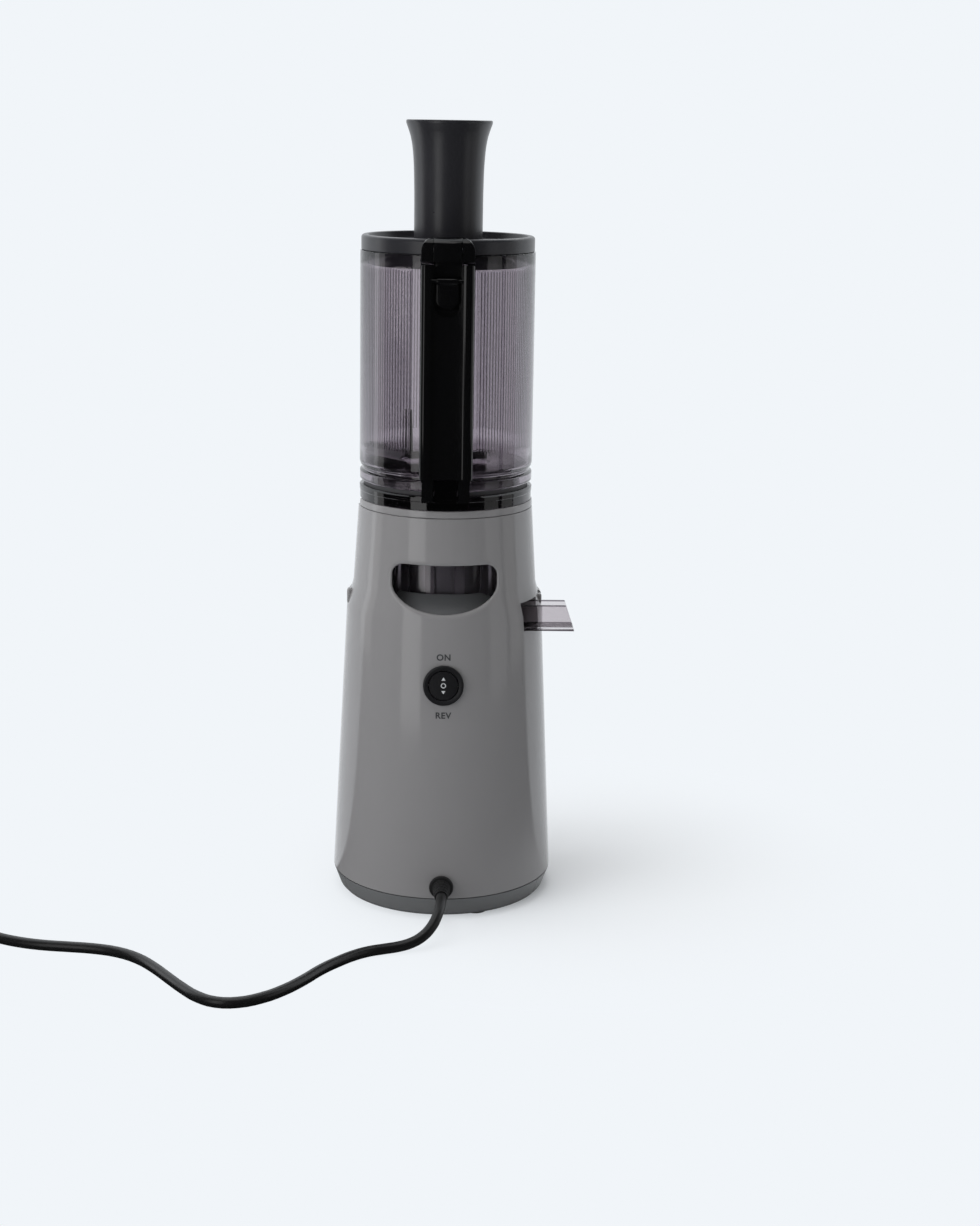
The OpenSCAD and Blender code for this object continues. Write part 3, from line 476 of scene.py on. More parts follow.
def clear_plastic(name, colour, rough=0.04, ior=1.57, flutes=0, thick=(), ripple=0.6, edge="#d8d4d8"):
    """Moulded clear copolymer with a smoky dye. Lamps reach through it, so what it holds isn't black."""
    material, tree, place = blank(name)
    flow = add(tree, "TexNoise", {"Vector": place, "Scale": grain_size(60)})
    dark, light = shades(colour, 0.02)
    tint = add(tree, "Mix", {"Factor": flow, "A": dark, "B": light}, data_type="RGBA")
    layers = [(flute_lines(tree, place, flutes), "#474247")] if flutes else []
    # Each thick zone runs from the level where it begins to the level where it is deepest.
    height = add(tree, "SeparateXYZ", {0: place}).outputs["Z"]
    for thin_z, thick_z, deep in thick:
        span = {"From Min": (thin_z + LIFT) / 1000, "From Max": (thick_z + LIFT) / 1000}
        layers.append((add(tree, "MapRange", {"Value": height, **span}), deep))
    # A wall seen edge on has more dye in the way.
    facing = add(tree, "LayerWeight", {"Blend": 0.5}).outputs["Facing"]
    layers.append((add(tree, "MapRange", {"Value": facing, "From Min": 0.5, "From Max": 0.92}), edge))
    for share, deep in layers:
        tint = add(tree, "Mix", {"Factor": share, "A": tint, "B": tone(deep)},
                   data_type="RGBA", blend_type="MULTIPLY")
    waves = add(tree, "TexNoise", {"Vector": place, "Scale": grain_size(22), "Detail": 1.0})
    bump = add(tree, "Bump", {"Height": waves, "Strength": ripple, "Distance": 0.0001})
    shader = add(tree, "BsdfPrincipled", {
        "Base Color": tint, "Roughness": rough, "IOR": ior, "Normal": bump, "Transmission Weight": 1.0})
    through = add(tree, "BsdfTransparent", {"Color": (*[c**0.5 for c in tone(colour)[:3]], 1)})
    ray = add(tree, "LightPath").outputs["Is Shadow Ray"]
    mixed = add(tree, "MixShader", {0: ray, 1: shader, 2: through})
    add(tree, "OutputMaterial", {"Surface": mixed})
    return material


def metal(name, colour, rough=(0.22, 0.34), along=(1.0, 1.0, 12.0), line=0.7, height=0.02):
    """Turned or drawn metal: fine lines left by the tool, which stretch each highlight."""
    material, tree, place = blank(name)
    stretched = add(tree, "Mapping", {"Vector": place, "Scale": along})
    lines = add(tree, "TexNoise", {"Vector": stretched, "Scale": grain_size(line * 4), "Detail": 5.0})
    cloud = add(tree, "TexNoise", {"Vector": place, "Scale": grain_size(12), "Detail": 3.0})
    bump = add(tree, "Bump", {"Height": lines, "Strength": 0.5, "Distance": height / 1000})
    roughness = add(tree, "MapRange", {"Value": cloud, **NOISE_SPAN, "To Min": rough[0], "To Max": rough[1]})
    shader = add(tree, "BsdfPrincipled", {
        "Base Color": tone(colour), "Metallic": 1.0, "Roughness": roughness, "Normal": bump})
    add(tree, "OutputMaterial", {"Surface": shader})
    return material


def banded(name, dark, light, width, rough):
    """Wire turns or stacked sheets: dark and light bands in turn, each about a width high."""
    material, tree, place = blank(name)
    wave = add(tree, "TexWave", {
        "Vector": place, "Scale": 1000 / width / 3.1416 / 2, "Distortion": 0.6, "Detail": 1.0},
        bands_direction="Z").outputs["Fac"]
    shade = add(tree, "Mix", {"Factor": wave, "A": tone(dark), "B": tone(light)}, data_type="RGBA")
    bump = add(tree, "Bump", {"Height": wave, "Strength": 0.7, "Distance": 0.00015})
    shader = add(tree, "BsdfPrincipled", {
        "Base Color": shade, "Metallic": 1.0, "Roughness": rough, "Normal": bump})
    add(tree, "OutputMaterial", {"Surface": shader})
    return material


def printed_ink(name, colour):
    """Pad printed ink: flat, a little chalky, with faint pinholes."""
    material, tree, place = blank(name)
    pits = add(tree, "TexNoise", {"Vector": place, "Scale": grain_size(0.6)})
    roughness = add(tree, "MapRange", {"Value": pits, **NOISE_SPAN, "To Min": 0.5, "To Max": 0.66})
    shader = add(tree, "BsdfPrincipled", {"Base Color": tone(colour), "Roughness": roughness, "IOR": 1.48})
    add(tree, "OutputMaterial", {"Surface": shader})
    return material


def circuit_laminate(name):
    """Glass-epoxy board: green solder mask with paler tracks showing through."""
    material, tree, place = blank(name)
    tracks = add(tree, "TexVoronoi", {"Vector": place, "Scale": grain_size(4.5)},
                 feature="DISTANCE_TO_EDGE", distance="MANHATTAN").outputs["Distance"]
    line = add(tree, "MapRange", {"Value": tracks, "From Min": 0.05, "From Max": 0.12})
    shade = add(tree, "Mix", {"Factor": line, "A": tone("#3f8a5a"), "B": tone("#1e5a36")}, data_type="RGBA")
    shader = add(tree, "BsdfPrincipled", {
        "Base Color": shade, "Roughness": 0.35, "IOR": 1.5, "Coat Weight": 0.3})
    add(tree, "OutputMaterial", {"Surface": shader})
    return material


def behind(tree, direction):
    """1 where a level direction points away from the camera side, to about 78 degrees, and 0 elsewhere."""
    flat = add(tree, "VectorMath", {0: direction, 1: (1, 1, 0)}, operation="MULTIPLY")
    flat = add(tree, "VectorMath", {0: flat}, operation="NORMALIZE")
    along = add(tree, "VectorMath", {0: flat, 1: (0, -1, 0)}, operation="DOT_PRODUCT")
    return add(tree, "MapRange", {"Value": along, "From Min": 0.18, "From Max": 0.22},
               interpolation_type="SMOOTHSTEP")


FINISH = {}


def mix_finishes(colours):
    """All finishes, each named for what the real surface is."""
    FINISH.update(
        # Painted ABS under a clear lacquer: near gloss, so the pale room shows along its edges.
        shell=plastic("lacquered_abs_grey", colours.shell, (0.10, 0.13), grain_height=0.003, drift=0.015),
        # The deck is the shell's grey at the shoulder; on the ledge inside the grip slot a darker grey is painted in
        # as the slot's shade.
        seat=plastic("lacquered_abs_deck_grey_and_painted_ledge_shade", colours.shell, (0.22, 0.28), grain_height=0.006, drift=0.02,
                     zone=("Y", 4, 10, colours.seat)),
        cover=plastic("lacquered_abs_base_grey", colours.cover, (0.2, 0.26), grain_height=0.006, drift=0.02),
        # Polished ABS: near mirror, with hairline wipes from handling.
        gloss=plastic("polished_abs_black", colours.gloss, (0.10, 0.17), grain=2.5, grain_height=0.004, drift=0.05,
                      scuffs=0.25),
        # Charcoal ABS, lightly textured: a broad grey sheen, duller than the spine.
        lid=plastic("semi_gloss_abs_charcoal", colours.lid, (0.27, 0.34), grain_height=0.008, drift=0.04),
        # Nylon and glass filled resin, with the dry grain of parts that nobody polishes.
        matte=plastic("textured_nylon_black", "#17171a", (0.42, 0.52), grain=0.8, grain_height=0.03),
        resin=plastic("glass_filled_resin_black", "#1b1b1d", (0.3, 0.42), grain=1.2),
        # The hopper's rings and the bowl's collar are thick, so they are darker than the walls.
        smoke=clear_plastic("smoky_copolymer_fluted", colours.smoke, rough=0.0, ripple=0.3,
                            thick=((304, 298, "#b9b5b9"),), flutes=bpy.context.scene.juicer_sizes.flute_count),
        smoke_bowl=clear_plastic("smoky_copolymer_bowl", "#d0cacf", thick=((252, 262, "#3e3b3e"),)),
        # A thin wall bends light so little that a low IOR draws it best.
        smoke_tray=clear_plastic("smoky_copolymer_tray", "#e2dee0", rough=0.0, ior=1.14, ripple=0.2,
                                 thick=((189.2, 188.6, "#6b666a"), (203.9, 204.5, "#77727a")), edge="#5d585b"),
        # Soft black elastomer: dull, with a bloom that softens its highlights.
        rubber=plastic("moulded_elastomer_black", "#161617", (0.5, 0.62), grain=0.8, drift=0.08, ior=1.5),
        # Extruded PVC jacket: slightly slick, with a shallow grain.
        lead=plastic("extruded_pvc_black", "#121213", (0.3, 0.38), grain=1.6),
        # Resin, silicone and nylon of the wet parts and the gears: smooth, with a soft sheen.
        frame=plastic("strainer_resin_grey", "#77777a", (0.35, 0.45), grain=1.2, drift=0.05),
        silicone=plastic("moulded_silicone_dark", "#3a3a3c", (0.45, 0.55), grain=1.0, grain_height=0.01,
                         drift=0.03, ior=1.43),
        nylon=plastic("machined_nylon_natural", "#dcd7c6", (0.38, 0.48), grain=1.2, drift=0.03),
        # Turned steel shows the tool's fine lines; a casting has an even, dull skin.
        steel=metal("turned_stainless_steel", "#c4c6c8"),
        mesh=metal("perforated_stainless_sleeve", "#b4b6b8", (0.3, 0.42)),
        casting=metal("die_cast_alloy", "#a9abad", (0.45, 0.6), along=(1.0, 1.0, 1.0), line=0.5, height=0.06),
        # Stamped sheets, drawn 1.2 mm thick because 0.5 mm would not show.
        stack=banded("stacked_electrical_steel", "#55585c", "#8c8f93", 1.2, rough=0.42),
        copper=banded("enamelled_copper_windings", "#7a3b16", "#d07a3a", 1.0, rough=0.3),
        board=circuit_laminate("glass_epoxy_board"),
        ink_dark=printed_ink("pad_print_dark_grey", "#343537"),
        ink_pale=printed_ink("pad_print_pale_grey", "#b9bbbd"),
    )


NODE_FINISH = {
    "shell": ("rim_ring",),
    "seat": ("bowl_seat",),
    "cover": ("bottom_cover",),
    "rubber": ("feet", "shaft_seal"),
    "steel": ("base_screws", "deck_screws", "motor_can", "motor_bearings", "gear_axles", "output_shaft",
              "shaft_bearings", "switch_pin", "plug_pins", "juice_cap_pin", "hinge_pin"),
    "gloss": ("latch_pin",),
    "mesh": ("strainer_mesh",),
    "stack": ("motor_stator", "motor_rotor"),
    "copper": ("motor_coils",),
    "casting": ("gearbox_housing", "gearbox_cover"),
    "nylon": ("first_gear", "second_gear", "output_gear"),
    "board": ("circuit_board",),
    "matte": ("cooling_fan", "switch_body", "cord_clamp"),
    "silicone": ("rim_gasket", "auger_seal", "juice_cap_seal"),
    "frame": ("strainer_frame",),
    "resin": ("auger", "feed_rotor", "feed_ramp"),
    "smoke_bowl": ("juicing_bowl",),
}


def fit(piece, finish, body, slot=None, *nodes, lift=LIFT):
    """Gives a finished piece its level, material and body. A printed mark has no slot, and stands for no CAD node."""
    settle(piece, move(0, 0, lift))
    piece.data.materials.clear()
    piece.data.materials.append(FINISH[finish])
    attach(piece, body)
    if slot:
        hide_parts(*nodes)


# ---------------------------------------------------------------- operators


class JUICER_OT_stage(bpy.types.Operator):
    """Camera, soft lamps, and the pale floor"""

    bl_idname = "juicer.stage"
    bl_label = "Stage"

    def execute(self, context):
        scene = context.scene
        scene.view_settings.view_transform = "Standard"
        backdrop = tone(scene.juicer_colours.backdrop)
        pitch, pan, roll = (math.radians(a) for a in (13.7, 1.35, 0.95))
        ahead = Vector((-math.sin(pan) * math.cos(pitch), -math.cos(pan) * math.cos(pitch), -math.sin(pitch)))
        side = Vector((-math.cos(pan), math.sin(pan), 0))
        top = side.cross(ahead)
        right = math.cos(roll) * side + math.sin(roll) * top
        up = right.cross(ahead)
        lens = bpy.data.cameras.new("camera")
        lens.lens, lens.sensor_width = 58.73, 36
        camera = bpy.data.objects.new("camera", lens)
        facing = Matrix((right, up, -ahead)).transposed().to_4x4()
        camera.matrix_world = Matrix.Translation((0, 1.332, 0.515 + LIFT / 1000)) @ facing
        scene.collection.objects.link(camera)
        scene.camera = camera

        # Place and size in metres, watts, and whether it shows in gloss.
        # The wide lamps give only their light; the strips also show as soft bands on glossy walls.
        lamps = [
            ("key_left", (1.3, 0.75, 0.7), (0.9, 1.3), 10.4, False),
            ("overhead", (0.1, -0.1, 1.7), (1.4, 1.4), 14.4, False),
            ("soft_above", (0.15, 0.35, 1.6), (1.0, 0.7), 2.2, True),
            ("strip_left", (0.46, 0.66, 0.36), (0.3, 0.72), 0.75, True),
            ("strip_right", (-0.8, 0.42, 0.36), (0.34, 0.72), 0.3, True),
            ("side_left", (0.97, -0.14, 0.36), (0.34, 0.72), 0.5, True),
            ("side_right", (-0.97, 0.02, 0.36), (0.34, 0.72), 0.35, True),
            ("strip_behind", (0.0, -0.9, 1.2), (1.6, 0.2), 2, True),
        ]
        for name, place, size, power, shows in lamps:
            light = bpy.data.lights.new(name, "AREA")
            light.shape, light.size, light.size_y, light.energy = "RECTANGLE", *size, power
            lamp = bpy.data.objects.new(name, light)
            # An upright strip looks level at the axis, and the others look at the middle of the object.
            target = Vector((0, 0, place[2] if size[0] < 0.4 else 0.26))
            aim = (target - Vector(place)).to_track_quat("-Z", "Y").to_matrix().to_4x4()
            lamp.matrix_world = Matrix.Translation(place) @ aim
            lamp.visible_glossy, lamp.visible_camera = shows, False
            scene.collection.objects.link(lamp)

        # The pale ground stands behind the object only: what faces the camera side reflects a dim room.
        world = bpy.data.worlds.new("studio")
        scene.world = world
        world.use_nodes = True
        tree = world.node_tree
        tree.nodes.clear()
        path = add(tree, "LightPath").outputs
        lit = add(tree, "Background", {"Color": tone("#f5f5f4"), "Strength": 0.34})
        shown, dim = (add(tree, "Background", {"Color": backdrop, "Strength": share}) for share in (1.0, 0.02))
        away = behind(tree, add(tree, "TexCoord").outputs["Generated"])
        room = add(tree, "MixShader", {0: away, 1: dim, 2: shown})
        room = add(tree, "MixShader", {0: path["Is Glossy Ray"], 1: lit, 2: room})
        seen = add(tree, "Math", {0: path["Is Camera Ray"], 1: path["Is Transmission Ray"]},
                   operation="MAXIMUM")
        mixed = add(tree, "MixShader", {0: seen, 1: room, 2: shown})
        add(tree, "OutputWorld", {"Surface": mixed})

        clear_selection()
        bpy.ops.mesh.primitive_circle_add(vertices=96, radius=6, fill_type="NGON", location=(0, 0, 0))
        floor = named("floor")
        edit_all()
        bpy.ops.mesh.inset(thickness=5.0)
        leave_edit()
        material, tree, place = blank("seamless_paper")
        # The shadow is kept round a point beside the tower, where the key lamp throws it.
        away = add(tree, "VectorMath", {0: place, 1: (-0.09, -0.03, 0)}, operation="DISTANCE")
        fade = add(tree, "MapRange", {"Value": away, "From Min": -0.02, "From Max": 0.25},
                   interpolation_type="SMOOTHSTEP")
        fibre = add(tree, "TexNoise", {"Vector": place, "Scale": grain_size(1.2)})
        bump = add(tree, "Bump", {"Height": fibre, "Strength": 0.2, "Distance": 0.00002})
        paper = add(tree, "BsdfDiffuse", {"Color": tone("#f1f4f7"), "Normal": bump})
        glow, dim = (add(tree, "Emission", {"Color": backdrop, "Strength": share}) for share in (1.0, 0.02))
        path = add(tree, "LightPath").outputs
        room = add(tree, "MixShader", {0: behind(tree, place), 1: dim, 2: glow})
        far = add(tree, "MixShader", {0: path["Is Glossy Ray"], 1: glow, 2: room})
        seen = path["Is Camera Ray"]
        for ray in ("Is Glossy Ray", "Is Transmission Ray"):
            seen = add(tree, "Math", {0: seen, 1: path[ray]}, operation="MAXIMUM")
        share = add(tree, "Math", {0: seen, 1: fade}, operation="MULTIPLY")
        mixed = add(tree, "MixShader", {0: share, 1: paper, 2: far})
        add(tree, "OutputMaterial", {"Surface": mixed})
        floor.data.materials.append(material)
        return {"FINISHED"}


def coil_points():
    """The coil winds in for two turns, climbs a layer in the half turn there, and winds out to the plug."""
    points = []
    step, whole, reversal, climb = 15, 1260, 720, 180
    for turn in range(step, whole + 1, step):
        x, y = circle_point(COIL_R + COIL_PITCH * abs(turn - reversal) / 360, turn)
        layer = min(1, max(0, (turn - reversal + climb / 2) / climb))
        points.append((COIL_CENTRE[0] - x, COIL_CENTRE[1] - y, COIL_Z + COIL_PITCH * layer))
    x, y, z = points[-1]
    return points + [(x + 0.4, y + 9, z + 0.4), (x + 0.6, y + 18, z + 1), (x + 0.6, y + 26, z + 1.4)]


class JUICER_OT_lead(bpy.types.Operator):
    """Power lead from its strain relief to the plug, with the stowed length coiled and tied"""

    bl_idname = "juicer.lead"
    bl_label = "Power lead"

    def execute(self, context):
        points = LEAD_ROUTE + coil_points()
        data = bpy.data.curves.new("power_lead", "CURVE")
        data.dimensions = "3D"
        spline = data.splines.new("BEZIER")
        spline.bezier_points.add(len(points) - 1)
        for knot, point in zip(spline.bezier_points, points):
            knot.co = metres(*point)
            knot.handle_left_type = knot.handle_right_type = "AUTO"
        spline.resolution_u = 3
        data.bevel_depth, data.bevel_resolution, data.use_fill_caps = LEAD_D / 2000, 5, True
        lead = bpy.data.objects.new("power_lead", data)
        context.scene.collection.objects.link(lead)
        data.materials.append(FINISH["lead"])
        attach(lead, "tower")
        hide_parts("power_cord", "cord_coil")

        x, y, z = points[-1]
        half = 17
        plug = block("plug_body", (x - half, y + 16, 0.1), (x + half, y + 40, 25.1), edge=4.5, steps=5)
        for side in (x - half, x + half):
            for start in (20, 26):
                groove = block("finger_groove", (side - 0.9, y + start, -5), (side + 0.9, y + start + 3, 30))
                combine(plug, groove)
        neck = lathe("plug_neck", rounded([
            (3.4, 0.2, 0.3), (4.4, 0.2, 0.6), (4.9, 4), (4.5, 4.6), (5.4, 8), (4.9, 8.8), (5.9, 12),
            (5.5, 12.8), (6.6, 18), (3.4, 18)], 2), 48, lay=move(x, y, z) @ turned("X", -90))
        join(plug, neck)
        finish_mesh(plug)
        fit(plug, "lead", "tower", "cord", "power_plug", lift=0)

        # The tie goes round two layers of turns, and stands a little off them.
        tall, wide = LEAD_D + COIL_PITCH + 2.2, 2 * COIL_PITCH + LEAD_D + 5.2
        band_lay = (move(*COIL_CENTRE, COIL_Z + COIL_PITCH / 2) @ turned("Z", 45)
                    @ move(0, COIL_R + COIL_PITCH, 0) @ turned("Y", 90))

        def tie_outline(inset, corner):
            a, b = tall / 2 - inset, wide / 2 - inset
            return rounded([(-a, -b, corner), (a, -b, corner), (a, b, corner), (-a, b, corner)], 6)

        band = plate("lead_tie", tie_outline(0, 3), -4, 4, lay=band_lay)
        combine(band, plate("tie_hole", tie_outline(0.8, 2.4), -9, 9, lay=band_lay))
        ease(band, 0.25, 1)
        fit(band, "rubber", "tower", "rubber", "cord_tie", lift=0)

        # Four ribs run down the tapered sleeve, from its flange on the wall to the lead's exit.
        wall_y, exit_y = rear_y(LEAD_Z), 93
        profile = [(0, wall_y - 12), (6.5, wall_y - 12, 0.5), (6.5, wall_y + 0.6), (8.3, wall_y + 0.6, 0.5),
                   (7.7, wall_y + 2.8, 0.8), (6.0, wall_y + 2.8, 0.4)]
        for k in range(4):
            y = wall_y + 4.6 + 3.4 * k
            r = 6.0 - 0.1 * (y - wall_y - 2.8)
            profile += [(r, y, 0.3), (r - 0.9, y + 0.3, 0.3),
                        (r - 0.95, y + 1.5, 0.3), (r - 0.1, y + 1.8, 0.3)]
        profile += [(4.3, exit_y, 0.4), (3.55, exit_y), (3.55, 80), (0, 80)]
        relief = lathe("strain_relief_boot", rounded(profile, 2), 64,
                       lay=move(0, 0, LEAD_Z) @ turned("X", -90))
        fit(relief, "rubber", "tower", "rubber", "strain_relief")
        return {"FINISHED"}


class JUICER_OT_tower(bpy.types.Operator):
    """Grey tower moulding with the grip slot, the open bay, the switch hole and the pulp window"""

    bl_idname = "juicer.tower"
    bl_label = "Tower shell"

    def execute(self, context):
        levels = [FOOT_Z + 0.5, 60, 110, 150, SHOULDER_Z - 5, SHOULDER_Z, SHOULDER_Z + 5, BAY_Z, 240,
                  SEAM_Z - 0.3]
        outer = [(FOOT_R - 0.5, FOOT_Z)] + [(half_sizes(z)[1], z) for z in levels]
        outer += [(half_sizes(SEAM_Z)[1] - 0.35, SEAM_Z)]
        inner = [(half_sizes(z)[1] - WALL, z) for z in [SEAM_Z] + levels[-2:0:-1] + [FOOT_Z]]
        shell = lathe("tower_moulding", outer + inner, 180, degrees=40)
        bpy.ops.object.mode_set(mode="EDIT")
        for z in levels:
            w, d = half_sizes(z)
            if w - d > 0.01:
                widen(shell, lambda co: abs(co.z - z) < 0.02, w / d, 1)
        leave_edit()

        # The bay is open to the front of bay_y and over bay_floor, with a rounded inner corner.
        bay_y, bay_floor, corner = 4, 199, 15
        sweep = [circle_point(corner, a) for a in range(-90, 1, 6)]
        sweep = [(bay_y - corner + y, bay_floor + corner + z) for y, z in sweep]
        outline = [(-120, bay_floor)] + sweep + [(bay_y, 300), (-120, 300)]
        combine(shell, plate("bay_cutter", outline, -100, 100, lay=turned("Z", 90) @ turned("X", 90)))
        combine(shell, self.slot_cutter(context.scene.juicer_sizes.slot_lip * 1000))

        combine(shell, block("window_cutter", (-80, 20.6, 187), (-35, 38.4, 206.4)))
        cheek = block("window_cheek", (-61.6, 18.6, 186.5), (-50.5, 20.55, 206.6))
        combine(shell, rod("switch_cutter", 11.7, 30, move(0, 65, SWITCH_Z) @ turned("X", 90)))
        combine(shell, rod("lead_cutter", 6.7, 30, move(0, 75, LEAD_Z) @ turned("X", 90)))
        floor_z, floor_r = 178, half_sizes(178)[1] - 1.4
        low, high = floor_z - 2, floor_z + 2
        floor = lathe("tower_floor", [
            (12.05, low), (17, 167), (17, low), (floor_r, low), (floor_r, high), (12.05, high)], 96)
        bosses = []
        for k in range(4):
            lay = move(*circle_point(63, 45 + 90 * k), 0)
            bosses.append(lathe("boss", [(1.9, 11), (5, 11), (5, 38), (1.9, 38)], 24, lay=lay))
        # The board's posts run from the board to the rear wall.
        board_y = 54.6
        for x in (-19, 19):
            for z in (36, 84):
                reach = rear_y(z) - 4.4
                lay = move(x, (reach + board_y) / 2, z) @ turned("X", 90)
                bosses.append(rod("board_post", 2.5, reach - board_y, lay, 24))
        # A low stop stands out at each end of the shoulder, the left one a little taller.
        ends = (("stop_left", 62.3, 66.1, 208.4), ("stop_right", -66.1, -62.3, 206.2))
        stops = [block(name, (left, 2.8, 198), (right, 9.5, top), edge=1.5, steps=4)
                 for name, left, right, top in ends]
        join(shell, floor, cheek, *stops, *bosses)
        smooth(shell, 40)
        fit(shell, "shell", "tower", "shell", "tower_shell")

        start = math.degrees(math.asin(bay_y / 57))
        ring = lathe("rim_band", rounded([
            (55.6, 266.9), (58.5, 266.9, 0.4), (58.2, RIM_Z, 0.7), (55.6, RIM_Z, 0.4)], 3), 120,
            turn=180 - 2 * start, start=start, lay=turned("Z", 180))
        fit(ring, "shell", "tower", "shell", "rim_ring")
        return {"FINISHED"}

    def slot_cutter(self, lip):
        """The cutter's rows follow the wall, so the slot's lip is rounded evenly all the way round."""
        half, corner, middle, dip, top = 34.5, 8, 222, 18.8, 235.5

        def outline(grow):
            bottom = [(circle_point(half + grow, a)[0], middle + circle_point(dip + grow, a)[1])
                      for a in range(180, 361, 4)]
            arc = [circle_point(corner + grow, 6 * k) for k in range(1, 16)]
            right = [(half - corner + x, top - corner + z) for x, z in arc]
            over = [((half - corner) * (1 - k / 12), top + grow) for k in range(1, 24)]
            return bottom + right + over + [(-x, z) for x, z in right[::-1]]

        # How far each row stands outside the slot's outline, and how far it rises over the wall.
        arc = [circle_point(lip, a) for a in range(0, 91, 15)]
        rows = [(lip + 1.2, 0)] + [(lip - fall, -0.7 * (lip - rise)) for rise, fall in arc] + [(0, 0)]
        # The two end rows are flat, one outside the wall and one behind it.
        flat = {0: 90, len(rows) - 1: 36}
        columns = len(outline(0))
        clear_selection()
        bpy.ops.mesh.primitive_grid_add(x_subdivisions=columns, y_subdivisions=len(rows) - 1, size=1)
        cutter = named("slot_cutter")
        grid = sorted(cutter.data.vertices, key=lambda v: (round(v.co.y, 4), round(v.co.x, 4)))
        for row, (grow, rise) in enumerate(rows):
            line = outline(grow)
            for column in range(columns + 1):
                x, z = line[column % columns]
                w, d = half_sizes(z)
                y = flat.get(row, d * math.sqrt(max(0, 1 - (x / w) ** 2)) + rise)
                grid[row * (columns + 1) + column].co = metres(x, y, z)
        edit_all()
        bpy.ops.mesh.remove_doubles(threshold=1e-6)
        bpy.ops.mesh.select_non_manifold(extend=False)
        bpy.ops.mesh.fill_holes(sides=0)
        bpy.ops.mesh.select_all(action="SELECT")
        bpy.ops.mesh.normals_make_consistent(inside=False)
        leave_edit()
        return cutter


class JUICER_OT_switch(bpy.types.Operator):
    """Round rocker switch with its bezel, symbols and printed words"""

    bl_idname = "juicer.switch"
    bl_label = "Switch"

    def execute(self, context):
        sizes = context.scene.juicer_sizes
        lay = on_rear(SWITCH_Z)
        bezel = lathe("switch_bezel_ring", rounded([
            (10.15, -6), (11.3, -6), (11.3, 0.15), (13.4, 0.15, 0.1), (13.4, 1.5, 0.5), (12.2, 1.95, 0.6),
            (10.15, 1.5, 0.5)], 4), 128, lay=lay)
        fit(bezel, "matte", "tower", "black_matte", "switch_bezel")

        # A wide bar cuts the rocker's face to a shallow hollow.
        dish, rocker_r, face = sizes.rocker_dish * 1000, 9.6, 1.4
        section = [(0, -3), (rocker_r, -3), (rocker_r, 0), (rocker_r, face), (0, face)]
        rocker = lathe("rocker_cap", section, 128)
        bend = (rocker_r**2 + dish**2) / (2 * dish)
        combine(rocker, rod("dish_cutter", bend, 40, move(0, 0, face - dish + bend) @ turned("Y", 90), 512))
        ease(rocker, 0.5, 3, angle=50)
        join(rocker, block("rocker_stem", (-6, -3, -7), (6, 3, -2.6), edge=0.6))
        settle(rocker, lay)
        combine(rocker, rod("pin_bore", 0.96, 24, lay @ move(0, 0, -1) @ turned("Y", 90), 32))
        smooth(rocker)
        fit(rocker, "matte", "rocker", "black_matte", "switch_rocker")

        def height_at(y):
            return face - dish * (1 - (y / rocker_r) ** 2)

        for name, way in (("mark_arrow_up", -1), ("mark_arrow_down", 1)):
            y = 4.3 * way
            points = [(-1.35, -0.8 * way), (1.35, -0.8 * way), (0, 1.3 * way)]
            tilt = math.degrees(math.atan(2 * dish * y / rocker_r**2))
            mark_lay = lay @ move(0, y, height_at(y) - 0.06) @ turned("X", tilt)
            fit(plate(name, points, 0, 0.12, lay=mark_lay), "ink_pale", "rocker")
        ring = lathe("mark_ring", [(1.15, 0), (1.7, 0), (1.7, 0.12), (1.15, 0.12)], 48,
                     lay=lay @ move(0, 0, height_at(0) - 0.03))
        fit(ring, "ink_pale", "rocker")

        # The words are laid on the shell from behind it, 0.05 mm proud.
        shell = bpy.data.objects["tower_moulding"]
        facing = Matrix(((-1, 0, 0, 0), (0, 0, 1, 0), (0, 1, 0, 0), (0, 0, 0, 1)))
        for word, z in (("ON", 175.3), ("REV", 136.4)):
            clear_selection()
            bpy.ops.object.text_add(location=(0, 0, 0))
            text = bpy.context.object.data
            text.body = word
            text.align_x, text.align_y = "CENTER", "CENTER"
            # A capital is 0.73 of the text's size, and the offset makes its strokes bolder.
            text.size, text.space_character, text.offset = sizes.mark_height / 0.73, 1.1, 0.00016
            bpy.ops.object.convert(target="MESH")
            piece = settle(named("word_" + word.lower()), move(0, 90, z + LIFT) @ facing)
            modify(piece, "SHRINKWRAP", target=shell, wrap_method="PROJECT", use_project_y=True,
                   use_negative_direction=True, use_positive_direction=False, offset=0.00005)
            fit(piece, "ink_dark", "tower", lift=0)
        return {"FINISHED"}


